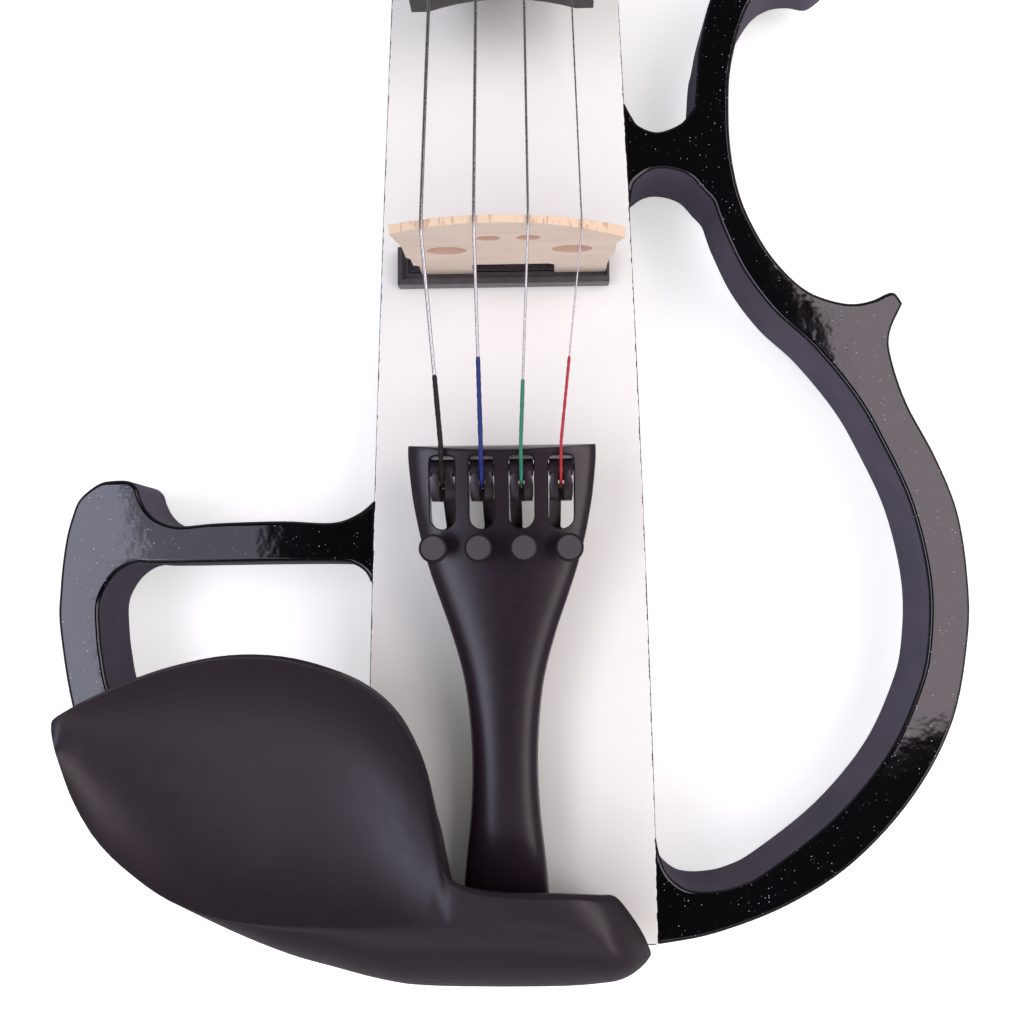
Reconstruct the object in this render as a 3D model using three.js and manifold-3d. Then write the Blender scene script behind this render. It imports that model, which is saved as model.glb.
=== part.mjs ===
// A full-size electric violin that lies on its back: a straight centre body with an open wing on each side.
// Millimetres. +X is the treble side, +Y runs to the scroll, +Z points out of the strings' side.
// The origin is on the flat back of the centre body, under the bridge.

import * as THREE from 'three';
import { mergeVertices } from 'three/addons/utils/BufferGeometryUtils.js';
import Module from 'manifold-3d';

const wasm = await Module();
wasm.setup();

const violin = new THREE.Group();

// Overall sizes
const stringLength = 328;
const tailReach = 158;
const neckEndReach = 190;
const halfSpan = 108;
const bodyDepth = 26;
const tailBlockDepth = 19;
const wingDepth = 18.5;

// Clearances
const glueLine = 0.1;
const seatGap = 0.3;
const turnGap = 0.2;
const overrun = 2;
const sink = 0.6;

// Strings, bass to treble
const stringNames = ['g', 'd', 'a', 'e'];
const stringDiameters = [0.84, 0.8, 0.7, 0.46];
const bridgeSpacing = 11.35;
const nutSpacing = 5.4;
const bridgeRise = 35.3;
const bridgeArchRadius = 46;
const bridgeArchShift = -2;

// Colours and finishes
const finishes = {
  whitePaint: { color: 0xeeebea, roughness: 0.45, metalness: 0 },
  blackSparkle: { color: 0x0b0b0e, roughness: 0.12, metalness: 0 },
  darkWood: { color: 0x2b2124, roughness: 0.55, metalness: 0 },
  maple: { color: 0xcdb9ae, roughness: 0.65, metalness: 0 },
  darkPlastic: { color: 0x2e282c, roughness: 0.5, metalness: 0 },
  blackPlastic: { color: 0x17161a, roughness: 0.45, metalness: 0 },
  darkMetal: { color: 0x3a363c, roughness: 0.35, metalness: 0.8 },
  brightMetal: { color: 0xc9c9cc, roughness: 0.25, metalness: 1 },
  stringMetal: { color: 0xb9b9bc, roughness: 0.3, metalness: 1 },
  brassMetal: { color: 0xb08d4a, roughness: 0.3, metalness: 1 },
  gutPlastic: { color: 0x1c1a1c, roughness: 0.4, metalness: 0 },
  corkPad: { color: 0xb48a5c, roughness: 0.9, metalness: 0 },
  boardGreen: { color: 0x1f5a3a, roughness: 0.5, metalness: 0 },
  batteryCase: { color: 0x4a4c52, roughness: 0.4, metalness: 0.2 },
};

// Names a sub-part, gives it its finish and adds it to the violin.
function addPart(name, geometry, finish) {
  const mesh = new THREE.Mesh(geometry, new THREE.MeshStandardMaterial(finishes[finish]));
  mesh.name = name;
  violin.add(mesh);
  return mesh;
}

// Turns a closed three.js geometry into a solid that can be joined and cut.
function solidFrom(geometry) {
  const bare = geometry.clone();
  for (const name of Object.keys(bare.attributes)) {
    if (name !== 'position') bare.deleteAttribute(name);
  }
  const merged = mergeVertices(bare);
  return new wasm.Manifold(new wasm.Mesh({
    numProp: 3,
    vertProperties: Float32Array.from(merged.attributes.position.array),
    triVerts: Uint32Array.from(merged.index.array),
  }));
}

// The surface of a solid, without any stray slivers that its cuts left.
function geometryFrom(solid) {
  const pieces = solid.decompose();
  const biggest = pieces.reduce((best, piece) => (piece.volume() > best.volume() ? piece : best));
  const mesh = biggest.getMesh();
  const geometry = new THREE.BufferGeometry();
  geometry.setAttribute('position', new THREE.BufferAttribute(Float32Array.from(mesh.vertProperties), 3));
  geometry.setIndex(Array.from(mesh.triVerts));
  geometry.computeVertexNormals();
  return geometry;
}

// Joins rings of points, all with one count and order, into a closed body with flat ends.
function loft(rings) {
  const count = rings[0].length;
  const positions = [];
  const index = [];
  for (const ring of rings) {
    for (const point of ring) positions.push(point.x, point.y, point.z);
  }
  for (let row = 0; row + 1 < rings.length; row += 1) {
    for (let place = 0; place < count; place += 1) {
      const next = (place + 1) % count;
      const near = row * count;
      const far = near + count;
      index.push(near + place, near + next, far + next);
      index.push(near + place, far + next, far + place);
    }
  }
  const first = flatCap(rings[0]);
  const last = flatCap(rings[rings.length - 1]);
  const lastStart = (rings.length - 1) * count;
  for (const [a, b, c] of first) index.push(c, b, a);
  for (const [a, b, c] of last) index.push(lastStart + a, lastStart + b, lastStart + c);
  const geometry = new THREE.BufferGeometry();
  geometry.setAttribute('position', new THREE.Float32BufferAttribute(positions, 3));
  geometry.setIndex(index);
  return outward(geometry);
}

// Triangles of a flat closed ring, in the ring's own turning order.
function flatCap(ring) {
  const normal = new THREE.Vector3();
  const step = new THREE.Vector3();
  for (let place = 0; place < ring.length; place += 1) {
    normal.add(step.crossVectors(ring[place], ring[(place + 1) % ring.length]));
  }
  normal.normalize();
  const side = new THREE.Vector3().subVectors(ring[1], ring[0]).normalize();
  const rise = new THREE.Vector3().crossVectors(normal, side);
  const flat = ring.map((point) => new THREE.Vector2(point.dot(side), point.dot(rise)));
  return THREE.ShapeUtils.triangulateShape(flat, []);
}

// Flips the faces of a closed geometry whose volume comes out negative.
function outward(geometry) {
  const place = geometry.attributes.position;
  const index = geometry.index;
  const a = new THREE.Vector3();
  const b = new THREE.Vector3();
  const c = new THREE.Vector3();
  let volume = 0;
  for (let corner = 0; corner < index.count; corner += 3) {
    a.fromBufferAttribute(place, index.getX(corner));
    b.fromBufferAttribute(place, index.getX(corner + 1));
    c.fromBufferAttribute(place, index.getX(corner + 2));
    volume += a.dot(b.cross(c));
  }
  if (volume < 0) {
    for (let corner = 0; corner < index.count; corner += 3) {
      const kept = index.getX(corner);
      index.setX(corner, index.getX(corner + 1));
      index.setX(corner + 1, kept);
    }
  }
  return geometry;
}

const at = (x, y, z) => new THREE.Vector3(x, y, z);

function moved(geometry, x, y, z) {
  return geometry.translate(x, y, z);
}

// A box between two corners.
function block(low, high) {
  const size = new THREE.Vector3().subVectors(high, low);
  const middle = new THREE.Vector3().addVectors(low, high).divideScalar(2);
  return moved(new THREE.BoxGeometry(size.x, size.y, size.z), middle.x, middle.y, middle.z);
}

// A round bar between two heights of one axis: 'x', 'y' or 'z'.
function bar(axis, radius, from, to, centre, sides = 20) {
  const geometry = new THREE.CylinderGeometry(radius, radius, to - from, sides);
  return alongAxis(geometry.translate(0, (from + to) / 2, 0), axis).translate(centre.x, centre.y, centre.z);
}

// Turns a geometry made along +Y so that it runs along the named axis.
function alongAxis(geometry, axis) {
  if (axis === 'x') geometry.rotateZ(-Math.PI / 2);
  if (axis === 'z') geometry.rotateX(Math.PI / 2);
  return geometry;
}

// A turned piece from [radius, height] pairs, from one end of its axis to the other.
function turned(pairs, axis, centre, sides = 20) {
  const points = pairs.map(([radius, height]) => new THREE.Vector2(radius, height));
  return alongAxis(new THREE.LatheGeometry(points, sides), axis).translate(centre.x, centre.y, centre.z);
}

// A flat outline from runs of points: each run is smooth, and a corner stands where two runs meet.
function outlineShape(runs) {
  const shape = new THREE.Shape();
  shape.moveTo(runs[0][0].x, runs[0][0].y);
  for (const run of runs) {
    const rest = run.slice(run === runs[0] ? 1 : 0);
    if (rest.length === 1) shape.lineTo(rest[0].x, rest[0].y);
    else shape.splineThru(rest);
  }
  return shape;
}

// The centre body

const bodyHalfAtTail = 33.8;
const bodyHalfAtNeck = 23.5;
const bodyTaperPower = 1.55;
const backCornerRadius = 5;
const neckEndRound = 9;
const tailBlockLength = 20;
const tailStepLength = 16;
const tailStepStart = tailReach - tailBlockLength;
const tailStepEnd = tailStepStart - tailStepLength;

function bodyHalfWidth(y) {
  const share = THREE.MathUtils.clamp((y + tailReach) / (tailReach + neckEndReach), 0, 1);
  return bodyHalfAtTail - (bodyHalfAtTail - bodyHalfAtNeck) * share ** bodyTaperPower;
}

function bodyBack(y) {
  const share = THREE.MathUtils.clamp((y + tailStepStart) / (tailStepStart - tailStepEnd), 0, 1);
  return (bodyDepth - tailBlockDepth) * (1 - share);
}

// One cross-section of the centre body; grow widens it and over raises its top.
function bodyRing(y, endShare, grow, over) {
  const half = bodyHalfWidth(y) - neckEndRound * (1 - endShare) + grow;
  const back = bodyBack(y);
  const top = bodyDepth + over;
  const ring = [at(-half, y, top)];
  const cornerSteps = 3;
  for (let step = 0; step <= cornerSteps; step += 1) {
    const angle = (Math.PI / 2) * (step / cornerSteps);
    const inset = backCornerRadius * (1 - Math.cos(angle));
    const lift = backCornerRadius * (1 - Math.sin(angle));
    ring.push(at(-half + inset, y, back + lift));
  }
  for (let step = cornerSteps; step >= 0; step -= 1) {
    const angle = (Math.PI / 2) * (step / cornerSteps);
    const inset = backCornerRadius * (1 - Math.cos(angle));
    const lift = backCornerRadius * (1 - Math.sin(angle));
    ring.push(at(half - inset, y, back + lift));
  }
  ring.push(at(half, y, top));
  return ring;
}

const bodyStationShares = [-1, -0.94, -0.63, -0.42, -0.2, 0, 0.25, 0.5, 0.75, 1];
const roundEndShares = [0, 0.35, 0.65, 0.88, 1];

function bodyLoft(grow, over) {
  const rings = [];
  rings.push(bodyRing(-tailReach - over, 1, grow, over));
  const places = bodyStationShares.slice(1).map((share) => share * tailReach);
  places.push(-tailStepStart, -tailStepEnd);
  places.sort((a, b) => a - b);
  for (const y of places) {
    if (y < neckEndReach - neckEndRound) rings.push(bodyRing(y, 1, grow, over));
  }
  for (const share of roundEndShares) {
    const y = neckEndReach - neckEndRound * (1 - share);
    rings.push(bodyRing(y, Math.sqrt(1 - share * share * 0.999), grow, over));
  }
  return solidFrom(loft(rings));
}

// The battery bay opens to the back, and the control pocket opens to the bass side.
const batterySize = { length: 48.5, width: 26.5, height: 17.5 };
const batteryRoom = 1;
const clipRoom = 7;
const batteryFromNeckEnd = 78;
const batteryMiddle = { x: 5, y: neckEndReach - batteryFromNeckEnd };
const coverThickness = 2;
const coverLedge = 3;
const coverPlay = 0.4;
const coverRecess = 0.4;
const coverPinInset = 0.8;
const coverPinRadius = 0.5;
const coverPinLength = 1.4;

const plateLength = 62;
const plateHeight = 15;
const plateThickness = 1.8;
const plateFromNeckEnd = 69;
const plateMiddleY = neckEndReach - plateFromNeckEnd;
const plateMiddleZ = 13;
const pocketLip = 3.5;
const pocketDepth = 19;

const bayHalfX = batterySize.width / 2 + batteryRoom;
const bayHalfY = (batterySize.length + batteryRoom + clipRoom) / 2;
const batteryFrontY = batteryMiddle.y - bayHalfY + batteryRoom;
const batteryEndY = batteryFrontY + batterySize.length;
const bayDepth = coverRecess + coverThickness + seatGap + batterySize.height + batteryRoom;
const coverHalfX = bayHalfX + coverLedge;
const coverHalfY = bayHalfY + coverLedge;
const coverPinSpot = new THREE.Vector3(
  batteryMiddle.x, batteryMiddle.y - coverHalfY + coverPinInset, coverRecess + coverPinInset,
);

const buttonHoleDepth = 18;
const buttonStemRadius = 3.9;
const buttonAxisZ = bodyDepth - tailBlockDepth / 2;

// The side face that carries the control plate leans with the body's taper.
const plateLean = Math.atan2(
  bodyHalfWidth(plateMiddleY - plateLength / 2) - bodyHalfWidth(plateMiddleY + plateLength / 2),
  plateLength,
);
const plateFaceX = -bodyHalfWidth(plateMiddleY);

// Moves a geometry made at the control plate, with +Y pointing out of the side and X along it, to its place.
function ontoSide(geometry) {
  geometry.rotateZ(Math.PI / 2 - plateLean);
  return geometry.translate(plateFaceX, plateMiddleY, plateMiddleZ);
}

let centreBody = bodyLoft(0, 0);
centreBody = centreBody.subtract(solidFrom(block(
  at(batteryMiddle.x - bayHalfX, batteryMiddle.y - bayHalfY, -overrun),
  at(batteryMiddle.x + bayHalfX, batteryMiddle.y + bayHalfY, bayDepth),
)));
centreBody = centreBody.subtract(solidFrom(block(
  at(batteryMiddle.x - coverHalfX - coverPlay, batteryMiddle.y - coverHalfY - coverPlay, -overrun),
  at(batteryMiddle.x + coverHalfX + coverPlay, batteryMiddle.y + coverHalfY + coverPlay,
    coverRecess + coverThickness + seatGap),
)));
centreBody = centreBody.subtract(solidFrom(bar(
  'x', coverPinRadius + turnGap, -coverHalfX - coverPinLength - turnGap, coverHalfX + coverPinLength + turnGap,
  coverPinSpot, 12,
)));
centreBody = centreBody.subtract(solidFrom(ontoSide(block(
  at(-plateLength / 2 + pocketLip, -pocketDepth, -plateHeight / 2 + pocketLip / 2),
  at(plateLength / 2 - pocketLip, overrun, plateHeight / 2 - pocketLip / 2),
))));
centreBody = centreBody.subtract(solidFrom(ontoSide(block(
  at(-plateLength / 2 - seatGap, -plateThickness - seatGap, -plateHeight / 2 - seatGap),
  at(plateLength / 2 + seatGap, overrun, plateHeight / 2 + seatGap),
))));
centreBody = centreBody.subtract(solidFrom(bar(
  'y', buttonStemRadius + turnGap, -tailReach - overrun, -tailReach + buttonHoleDepth, at(0, 0, buttonAxisZ),
)));
addPart('centre_body', geometryFrom(centreBody), 'whitePaint');

// The wings, cut from flat board with softened edges and glued to the sides of the centre body.
// Outline points are shares of the half span (x) and of the reach to the tail (y), on the treble side.

const wingEdgeRound = 1.1;
const insideBodyShare = 0.12;
const loopInsideShare = 0.17;

const fromShares = (pairs, side = 1) => pairs.map(
  ([x, y]) => new THREE.Vector2(side * x * halfSpan, y * tailReach),
);

const lowerBoutOuterShares = [
  [0.311, -1], [0.434, -0.984], [0.59, -0.944], [0.734, -0.882], [0.866, -0.787], [0.955, -0.679],
];
const lowerBoutInnerShares = [
  [0.88, -0.635], [0.811, -0.728], [0.694, -0.819], [0.55, -0.894], [0.485, -0.916], [0.436, -0.923],
  [0.392, -0.923], [0.363, -0.916], [0.335, -0.898], [0.319, -0.872], [0.309, -0.835],
];
const trebleFlankShares = [
  [0.995, -0.557], [1, -0.47], [0.985, -0.374], [0.943, -0.29], [0.885, -0.207], [0.856, -0.139],
  [0.854, -0.098], [0.885, -0.052],
];
const waistShares = [
  [0.863, -0.034], [0.818, -0.046], [0.772, -0.051], [0.721, -0.044], [0.671, -0.028], [0.622, 0.004],
  [0.576, 0.05], [0.534, 0.116], [0.514, 0.19], [0.511, 0.264], [0.519, 0.334], [0.55, 0.411],
  [0.597, 0.466], [0.643, 0.488], [0.69, 0.492], [0.735, 0.487], [0.771, 0.503],
];
const upperBoutOuterShares = [
  [0.755, 0.54], [0.748, 0.59], [0.757, 0.66], [0.768, 0.74], [0.766, 0.83], [0.737, 0.93], [0.67, 1.02],
  [0.57, 1.09], [0.44, 1.14], [0.32, 1.165], [0.12, 1.17],
];
const trebleLoopShares = [
  [0.283, 0.112], [0.291, 0.143], [0.31, 0.157], [0.334, 0.166], [0.359, 0.168], [0.391, 0.164],
  [0.42, 0.154], [0.446, 0.133], [0.468, 0.115], [0.479, 0.092], [0.494, 0.063], [0.535, 0.001],
  [0.599, -0.061], [0.682, -0.117], [0.768, -0.194], [0.823, -0.265], [0.881, -0.361], [0.912, -0.473],
  [0.906, -0.568],
];
const upperLoopShares = [
  [0.268, 0.284], [0.29, 0.253], [0.307, 0.238], [0.348, 0.228], [0.398, 0.24], [0.421, 0.258],
  [0.431, 0.268], [0.435, 0.29], [0.443, 0.353], [0.451, 0.378], [0.473, 0.44], [0.52, 0.505],
  [0.585, 0.548], [0.638, 0.585], [0.66, 0.65], [0.674, 0.74], [0.672, 0.825], [0.645, 0.91],
  [0.585, 0.985], [0.5, 1.04], [0.4, 1.075], [0.3, 1.09], [0.225, 1.08],
];
const bassTopShares = [
  [0.999, -0.543], [1.002, -0.475], [0.994, -0.408], [0.98, -0.365], [0.963, -0.338], [0.923, -0.316],
  [0.89, -0.311], [0.854, -0.312], [0.834, -0.322], [0.825, -0.339], [0.809, -0.358], [0.783, -0.373],
  [0.736, -0.382], [0.65, -0.378], [0.506, -0.376], [0.393, -0.379], [0.336, -0.366], [0.301, -0.347],
];
const bassLoopShares = [
  [0.306, -0.47], [0.318, -0.455], [0.341, -0.444], [0.376, -0.439], [0.506, -0.438], [0.78, -0.439],
  [0.832, -0.438], [0.872, -0.452], [0.899, -0.476], [0.911, -0.501], [0.909, -0.536], [0.901, -0.578],
];

// Extrudes an outline with its open loops to the depth of a wing, rounds its edges and cuts it to the body.
function wing(outline, loops) {
  outline.holes.push(...loops);
  const geometry = new THREE.ExtrudeGeometry(outline, {
    depth: wingDepth - 2 * wingEdgeRound,
    curveSegments: 2,
    bevelThickness: wingEdgeRound,
    bevelSize: wingEdgeRound,
    bevelOffset: -wingEdgeRound,
    bevelSegments: 1,
  });
  geometry.translate(0, 0, bodyDepth - wingDepth + wingEdgeRound);
  return geometryFrom(solidFrom(geometry).subtract(bodyLoft(glueLine, overrun)));
}

const insideBody = (side, share) => fromShares([[insideBodyShare, share]], side);
const loopInside = (side, share) => fromShares([[loopInsideShare, share]], side);

const trebleOutline = outlineShape([
  fromShares([...lowerBoutOuterShares, ...trebleFlankShares]),
  fromShares(waistShares),
  fromShares(upperBoutOuterShares),
  insideBody(1, lowerBoutOuterShares[0][1]),
]);
const trebleLoop = outlineShape([
  fromShares([...trebleLoopShares, ...lowerBoutInnerShares]),
  loopInside(1, lowerBoutInnerShares.at(-1)[1]),
  loopInside(1, trebleLoopShares[0][1]),
]);
const upperLoop = outlineShape([
  fromShares(upperLoopShares),
  loopInside(1, upperLoopShares.at(-1)[1]),
  loopInside(1, upperLoopShares[0][1]),
]);
addPart('treble_wing', wing(trebleOutline, [trebleLoop, upperLoop]), 'blackSparkle');

const bassOutline = outlineShape([
  fromShares([...lowerBoutOuterShares, ...bassTopShares], -1),
  insideBody(-1, bassTopShares.at(-1)[1]),
  insideBody(-1, lowerBoutOuterShares[0][1]),
]);
const bassLoop = outlineShape([
  fromShares([...bassLoopShares, ...lowerBoutInnerShares], -1),
  loopInside(-1, lowerBoutInnerShares.at(-1)[1]),
  loopInside(-1, bassLoopShares[0][1]),
]);
addPart('bass_wing', wing(bassOutline, [bassLoop]), 'blackSparkle');

// Fingerboard: arched top, flat glued face, hollowed under its free end

const fingerboardEndY = 57;
const fingerboardHalfAtNut = 12;
const fingerboardHalfAtEnd = 21;
const fingerboardEdge = 5;
const fingerboardRadius = 42;
const gluePlaneAtNut = 32.6;
const gluePlaneAtEnd = 44;
const hollowRim = 4;
const hollowRise = 4.2;
const hollowStop = 12;

const nutShare = (y) => (stringLength - y) / (stringLength - fingerboardEndY);
const fingerboardHalf = (y) => THREE.MathUtils.lerp(fingerboardHalfAtNut, fingerboardHalfAtEnd, nutShare(y));
const gluePlane = (y) => THREE.MathUtils.lerp(gluePlaneAtNut, gluePlaneAtEnd, nutShare(y));
const archDrop = (radius, x) => radius - Math.sqrt(radius * radius - x * x);

function fingerboardTop(x, y) {
  const edgeDrop = archDrop(fingerboardRadius, fingerboardHalf(y));
  return gluePlane(y) + fingerboardEdge + edgeDrop - archDrop(fingerboardRadius, x);
}

function archedRing(y, half, bottom, topAt, steps) {
  const ring = [at(-half, y, bottom), at(half, y, bottom)];
  for (let step = 0; step <= steps; step += 1) {
    const x = half * (1 - (2 * step) / steps);
    ring.push(at(x, y, topAt(x, y)));
  }
  return ring;
}

const archSteps = 10;
const fingerboardLoft = loft([fingerboardEndY, stringLength - glueLine].map(
  (y) => archedRing(y, fingerboardHalf(y), gluePlane(y) + glueLine, fingerboardTop, archSteps),
));
const hollowEnds = [fingerboardEndY - overrun, neckEndReach - hollowStop];
const fingerboardHollow = loft(hollowEnds.map((y) => {
  const half = fingerboardHalf(y) - hollowRim;
  const topAt = (x) => gluePlane(y) + hollowRise * (1 - (x / half) ** 2) + glueLine;
  return archedRing(y, half, gluePlane(y) - overrun, topAt, archSteps);
}));
const fingerboard = solidFrom(fingerboardLoft).subtract(solidFrom(fingerboardHollow));
addPart('fingerboard', geometryFrom(fingerboard), 'darkWood');

// Neck with its heel, pegbox and scroll, carved from one piece

const neckDepthAtNut = 12.5;
const neckDepthAtHeel = 14.5;
const heelLength = 34;
const heelBottom = 3;
const heelHalf = 15.5;
const heelSeatY = neckEndReach + glueLine;

const nutThickness = 5.5;
const nutRise = 1.1;
const nutToPegbox = 2.5;
const pegboxLength = 62;
const pegboxStartY = stringLength + nutThickness + nutToPegbox;
const pegboxEndY = pegboxStartY + pegboxLength;
const pegboxHalfAtStart = 12;
const pegboxHalfAtEnd = 9.5;
const pegboxWall = 4;
const pegboxFloorZ = 17.2;
const pegboxFloorThickness = 6;
const cheekTopAtStart = 32.6;
const cheekTopAtEnd = 31;

const pegAxisZ = 24;
const firstPegIn = 10;
const pegSpacing = 13.5;
const pegOrder = ['g', 'e', 'd', 'a'];
const pegPlaces = Object.fromEntries(pegOrder.map(
  (name, place) => [name, pegboxStartY + firstPegIn + place * pegSpacing],
));
const pegRadius = 3.7;

const scrollBeyondPegbox = 19;
const scrollCentre = { y: pegboxEndY + scrollBeyondPegbox, z: 27 };
const scrollRadius = 19.5;
const scrollEyeRadius = 3.6;
const scrollEyeHalf = 20.5;
const scrollStartHalf = 7.5;
const scrollTurns = 2.5;
const scrollStartAngle = THREE.MathUtils.degToRad(-128);

function neckRing(y, half, top, bottom) {
  const shoulder = (top - bottom) * 0.35;
  const ring = [at(half, y, top)];
  const steps = 10;
  for (let step = 0; step <= steps; step += 1) {
    const angle = (Math.PI * step) / steps;
    const x = half * Math.cos(angle);
    ring.push(at(x, y, top - shoulder - (top - shoulder - bottom) * Math.sin(angle)));
  }
  ring.push(at(-half, y, top));
  return ring;
}

function neckSolid() {
  const rings = [];
  const heelSteps = 6;
  for (let step = 0; step <= heelSteps; step += 1) {
    const share = step / heelSteps;
    const y = heelSeatY + heelLength * share;
    const shaft = gluePlane(y) - neckDepthAtHeel;
    const fall = (1 - share) ** 3;
    const bottom = THREE.MathUtils.lerp(shaft, heelBottom, fall);
    const half = THREE.MathUtils.lerp(fingerboardHalf(y), heelHalf, fall);
    rings.push(neckRing(y, half, gluePlane(y), bottom));
  }
  for (const share of [0.3, 0.65, 1]) {
    const y = THREE.MathUtils.lerp(heelSeatY + heelLength, stringLength, share);
    const depth = THREE.MathUtils.lerp(neckDepthAtHeel, neckDepthAtNut, share);
    rings.push(neckRing(y, fingerboardHalf(y), gluePlane(y), gluePlane(y) - depth));
  }
  const underNut = gluePlane(stringLength);
  const boxBottom = pegboxFloorZ - pegboxFloorThickness;
  rings.push(neckRing(pegboxStartY, pegboxHalfAtStart, underNut, boxBottom + sink));
  return solidFrom(loft(rings));
}

const pegboxHalf = (y) => THREE.MathUtils.lerp(
  pegboxHalfAtStart, pegboxHalfAtEnd, (y - pegboxStartY) / (pegboxEndY - pegboxStartY),
);

function boxRing(y, half, bottom, top) {
  return [at(-half, y, bottom), at(half, y, bottom), at(half, y, top), at(-half, y, top)];
}

function pegboxSolid() {
  const bottom = pegboxFloorZ - pegboxFloorThickness;
  const wallEnd = pegboxEndY + pegboxWall * 2;
  const outside = loft([
    boxRing(pegboxStartY - nutThickness, fingerboardHalfAtNut, bottom + pegboxWall, cheekTopAtStart),
    boxRing(pegboxStartY, pegboxHalfAtStart, bottom, cheekTopAtStart),
    boxRing(pegboxEndY, pegboxHalfAtEnd, bottom, cheekTopAtEnd),
    boxRing(wallEnd, scrollStartHalf, bottom + sink, cheekTopAtEnd - pegboxWall),
  ]);
  const trough = loft([
    boxRing(pegboxStartY, pegboxHalf(pegboxStartY) - pegboxWall, pegboxFloorZ, bodyDepth * 2),
    boxRing(pegboxEndY, pegboxHalf(pegboxEndY) - pegboxWall, pegboxFloorZ, bodyDepth * 2),
  ]);
  return solidFrom(outside).subtract(solidFrom(trough));
}

// The volute: a shrinking spiral whose turns step outwards to the eye, joined half a turn at a time.
function spiralRadius(angle) {
  const share = (angle - scrollStartAngle) / (2 * Math.PI * scrollTurns);
  return scrollRadius * (scrollEyeRadius / scrollRadius) ** Math.min(share, 1);
}

function spiralHalf(angle) {
  const share = (angle - scrollStartAngle) / (2 * Math.PI * scrollTurns);
  return THREE.MathUtils.lerp(scrollStartHalf, scrollEyeHalf, THREE.MathUtils.clamp(share, 0, 1) ** 1.3);
}

function voluteRing(angle) {
  const outer = spiralRadius(angle);
  const inner = Math.min(spiralRadius(angle + 2 * Math.PI), outer - scrollEyeRadius) * 0.9;
  const half = spiralHalf(angle);
  const spot = (radius, x) => at(
    x, scrollCentre.y + radius * Math.cos(angle), scrollCentre.z + radius * Math.sin(angle),
  );
  return [spot(inner, -half), spot(outer, -half), spot(outer, half), spot(inner, half)];
}

function scrollSolid() {
  const stepsPerHalfTurn = 9;
  let scroll = solidFrom(bar('x', scrollEyeRadius, -scrollEyeHalf, scrollEyeHalf,
    at(0, scrollCentre.y, scrollCentre.z), 14));
  const halfTurns = Math.round(scrollTurns * 2);
  for (let halfTurn = 0; halfTurn < halfTurns; halfTurn += 1) {
    const rings = [];
    for (let step = 0; step <= stepsPerHalfTurn; step += 1) {
      rings.push(voluteRing(scrollStartAngle + Math.PI * (halfTurn + step / stepsPerHalfTurn)));
    }
    scroll = scroll.add(solidFrom(loft(rings)));
  }
  return scroll;
}

let neck = neckSolid().add(pegboxSolid()).add(scrollSolid());
for (const y of Object.values(pegPlaces)) {
  neck = neck.subtract(solidFrom(bar(
    'x', pegRadius + turnGap, -pegboxHalfAtStart - overrun, pegboxHalfAtStart + overrun, at(0, y, pegAxisZ), 16,
  )));
}
addPart('neck', geometryFrom(neck), 'blackSparkle');

// Where each string lies at the bridge, at the nut, on its peg and in its tuner

const bridgeTailFaceY = 0;
const bridgeThicknessAtFeet = 4.4;
const bridgeThicknessAtTop = 1.5;
const bridgeLineY = bridgeTailFaceY + bridgeThicknessAtTop / 2;
const stringLift = 0.5;

const bridgeTop = (x) => bodyDepth + bridgeRise - archDrop(bridgeArchRadius, x - bridgeArchShift);

const tailpieceShift = -0.7;
const tunerPitch = 8.6;
const tunerScrewPitch = 9.6;

const strings = stringNames.map((name, place) => {
  const offset = place - (stringNames.length - 1) / 2;
  const radius = stringDiameters[place] / 2;
  const nutX = offset * nutSpacing;
  const bridgeX = offset * bridgeSpacing;
  return {
    name,
    radius,
    offset,
    nutX,
    bridgeX,
    nutZ: fingerboardTop(nutX, stringLength) + stringLift + radius,
    bridgeZ: bridgeTop(bridgeX) + radius,
    pegSide: Math.sign(offset),
    pegY: pegPlaces[name],
    tunerX: offset * tunerPitch + tailpieceShift,
    screwX: offset * tunerScrewPitch + tailpieceShift,
  };
});

// Nut, with a groove for each string

const nutTopAt = (x) => fingerboardTop(x, stringLength) + nutRise;
let nut = solidFrom(loft([stringLength + seatGap, stringLength + nutThickness].map(
  (y) => archedRing(y, fingerboardHalfAtNut, gluePlaneAtNut + glueLine, nutTopAt, archSteps),
)));
for (const string of strings) {
  const half = string.radius + seatGap;
  nut = nut.subtract(solidFrom(block(
    at(string.nutX - half, stringLength - overrun, string.nutZ - string.radius - seatGap),
    at(string.nutX + half, stringLength + nutThickness + overrun, string.nutZ + overrun),
  )));
}
addPart('nut', geometryFrom(nut), 'darkPlastic');

// Bridge: flat on the tail side, thinner towards the top, with kidneys, heart and two stepped feet

const trayHeight = 3.6;
const trayFloor = 1.8;
const trayLength = 51;
const trayDepth = 9.7;
const trayWall = 1.3;
const trayMiddle = { x: -0.7, y: 1.65 };
const pickupBarHeight = 1;
const pickupBarDepth = 3;

const bridgeMiddleX = 1.2;
const bridgeFeetShift = 0.6;
const bridgeHalfAtTop = 25.7;
const bridgeHalfAtWaist = 24;
const bridgeHalfAtStep = 23;
const bridgeHalfAtFeet = 22.2;
const bridgeFootInner = 9.8;
const bridgeArchRise = 8.6;
const bridgeStepLowRise = 8.8;
const bridgeStepHighRise = 13;
const bridgeFlankRise = 21;
const footCornerRise = 1.4;
const kidneyRise = 18.2;
const heartEyeRise = 25.6;
const bridgeFootZ = bodyDepth + trayFloor + seatGap;
const bridgeFeetX = bridgeMiddleX + bridgeFeetShift;
const bridgeArchZ = bodyDepth + bridgeArchRise;
const bridgeStepLowZ = bodyDepth + bridgeStepLowRise;
const bridgeStepHighZ = bodyDepth + bridgeStepHighRise;
const bridgeFlankZ = bodyDepth + bridgeFlankRise;
const kidney = { x: 14.2, z: bodyDepth + kidneyRise, halfWidth: 4.6, halfHeight: 2.5 };
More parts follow.
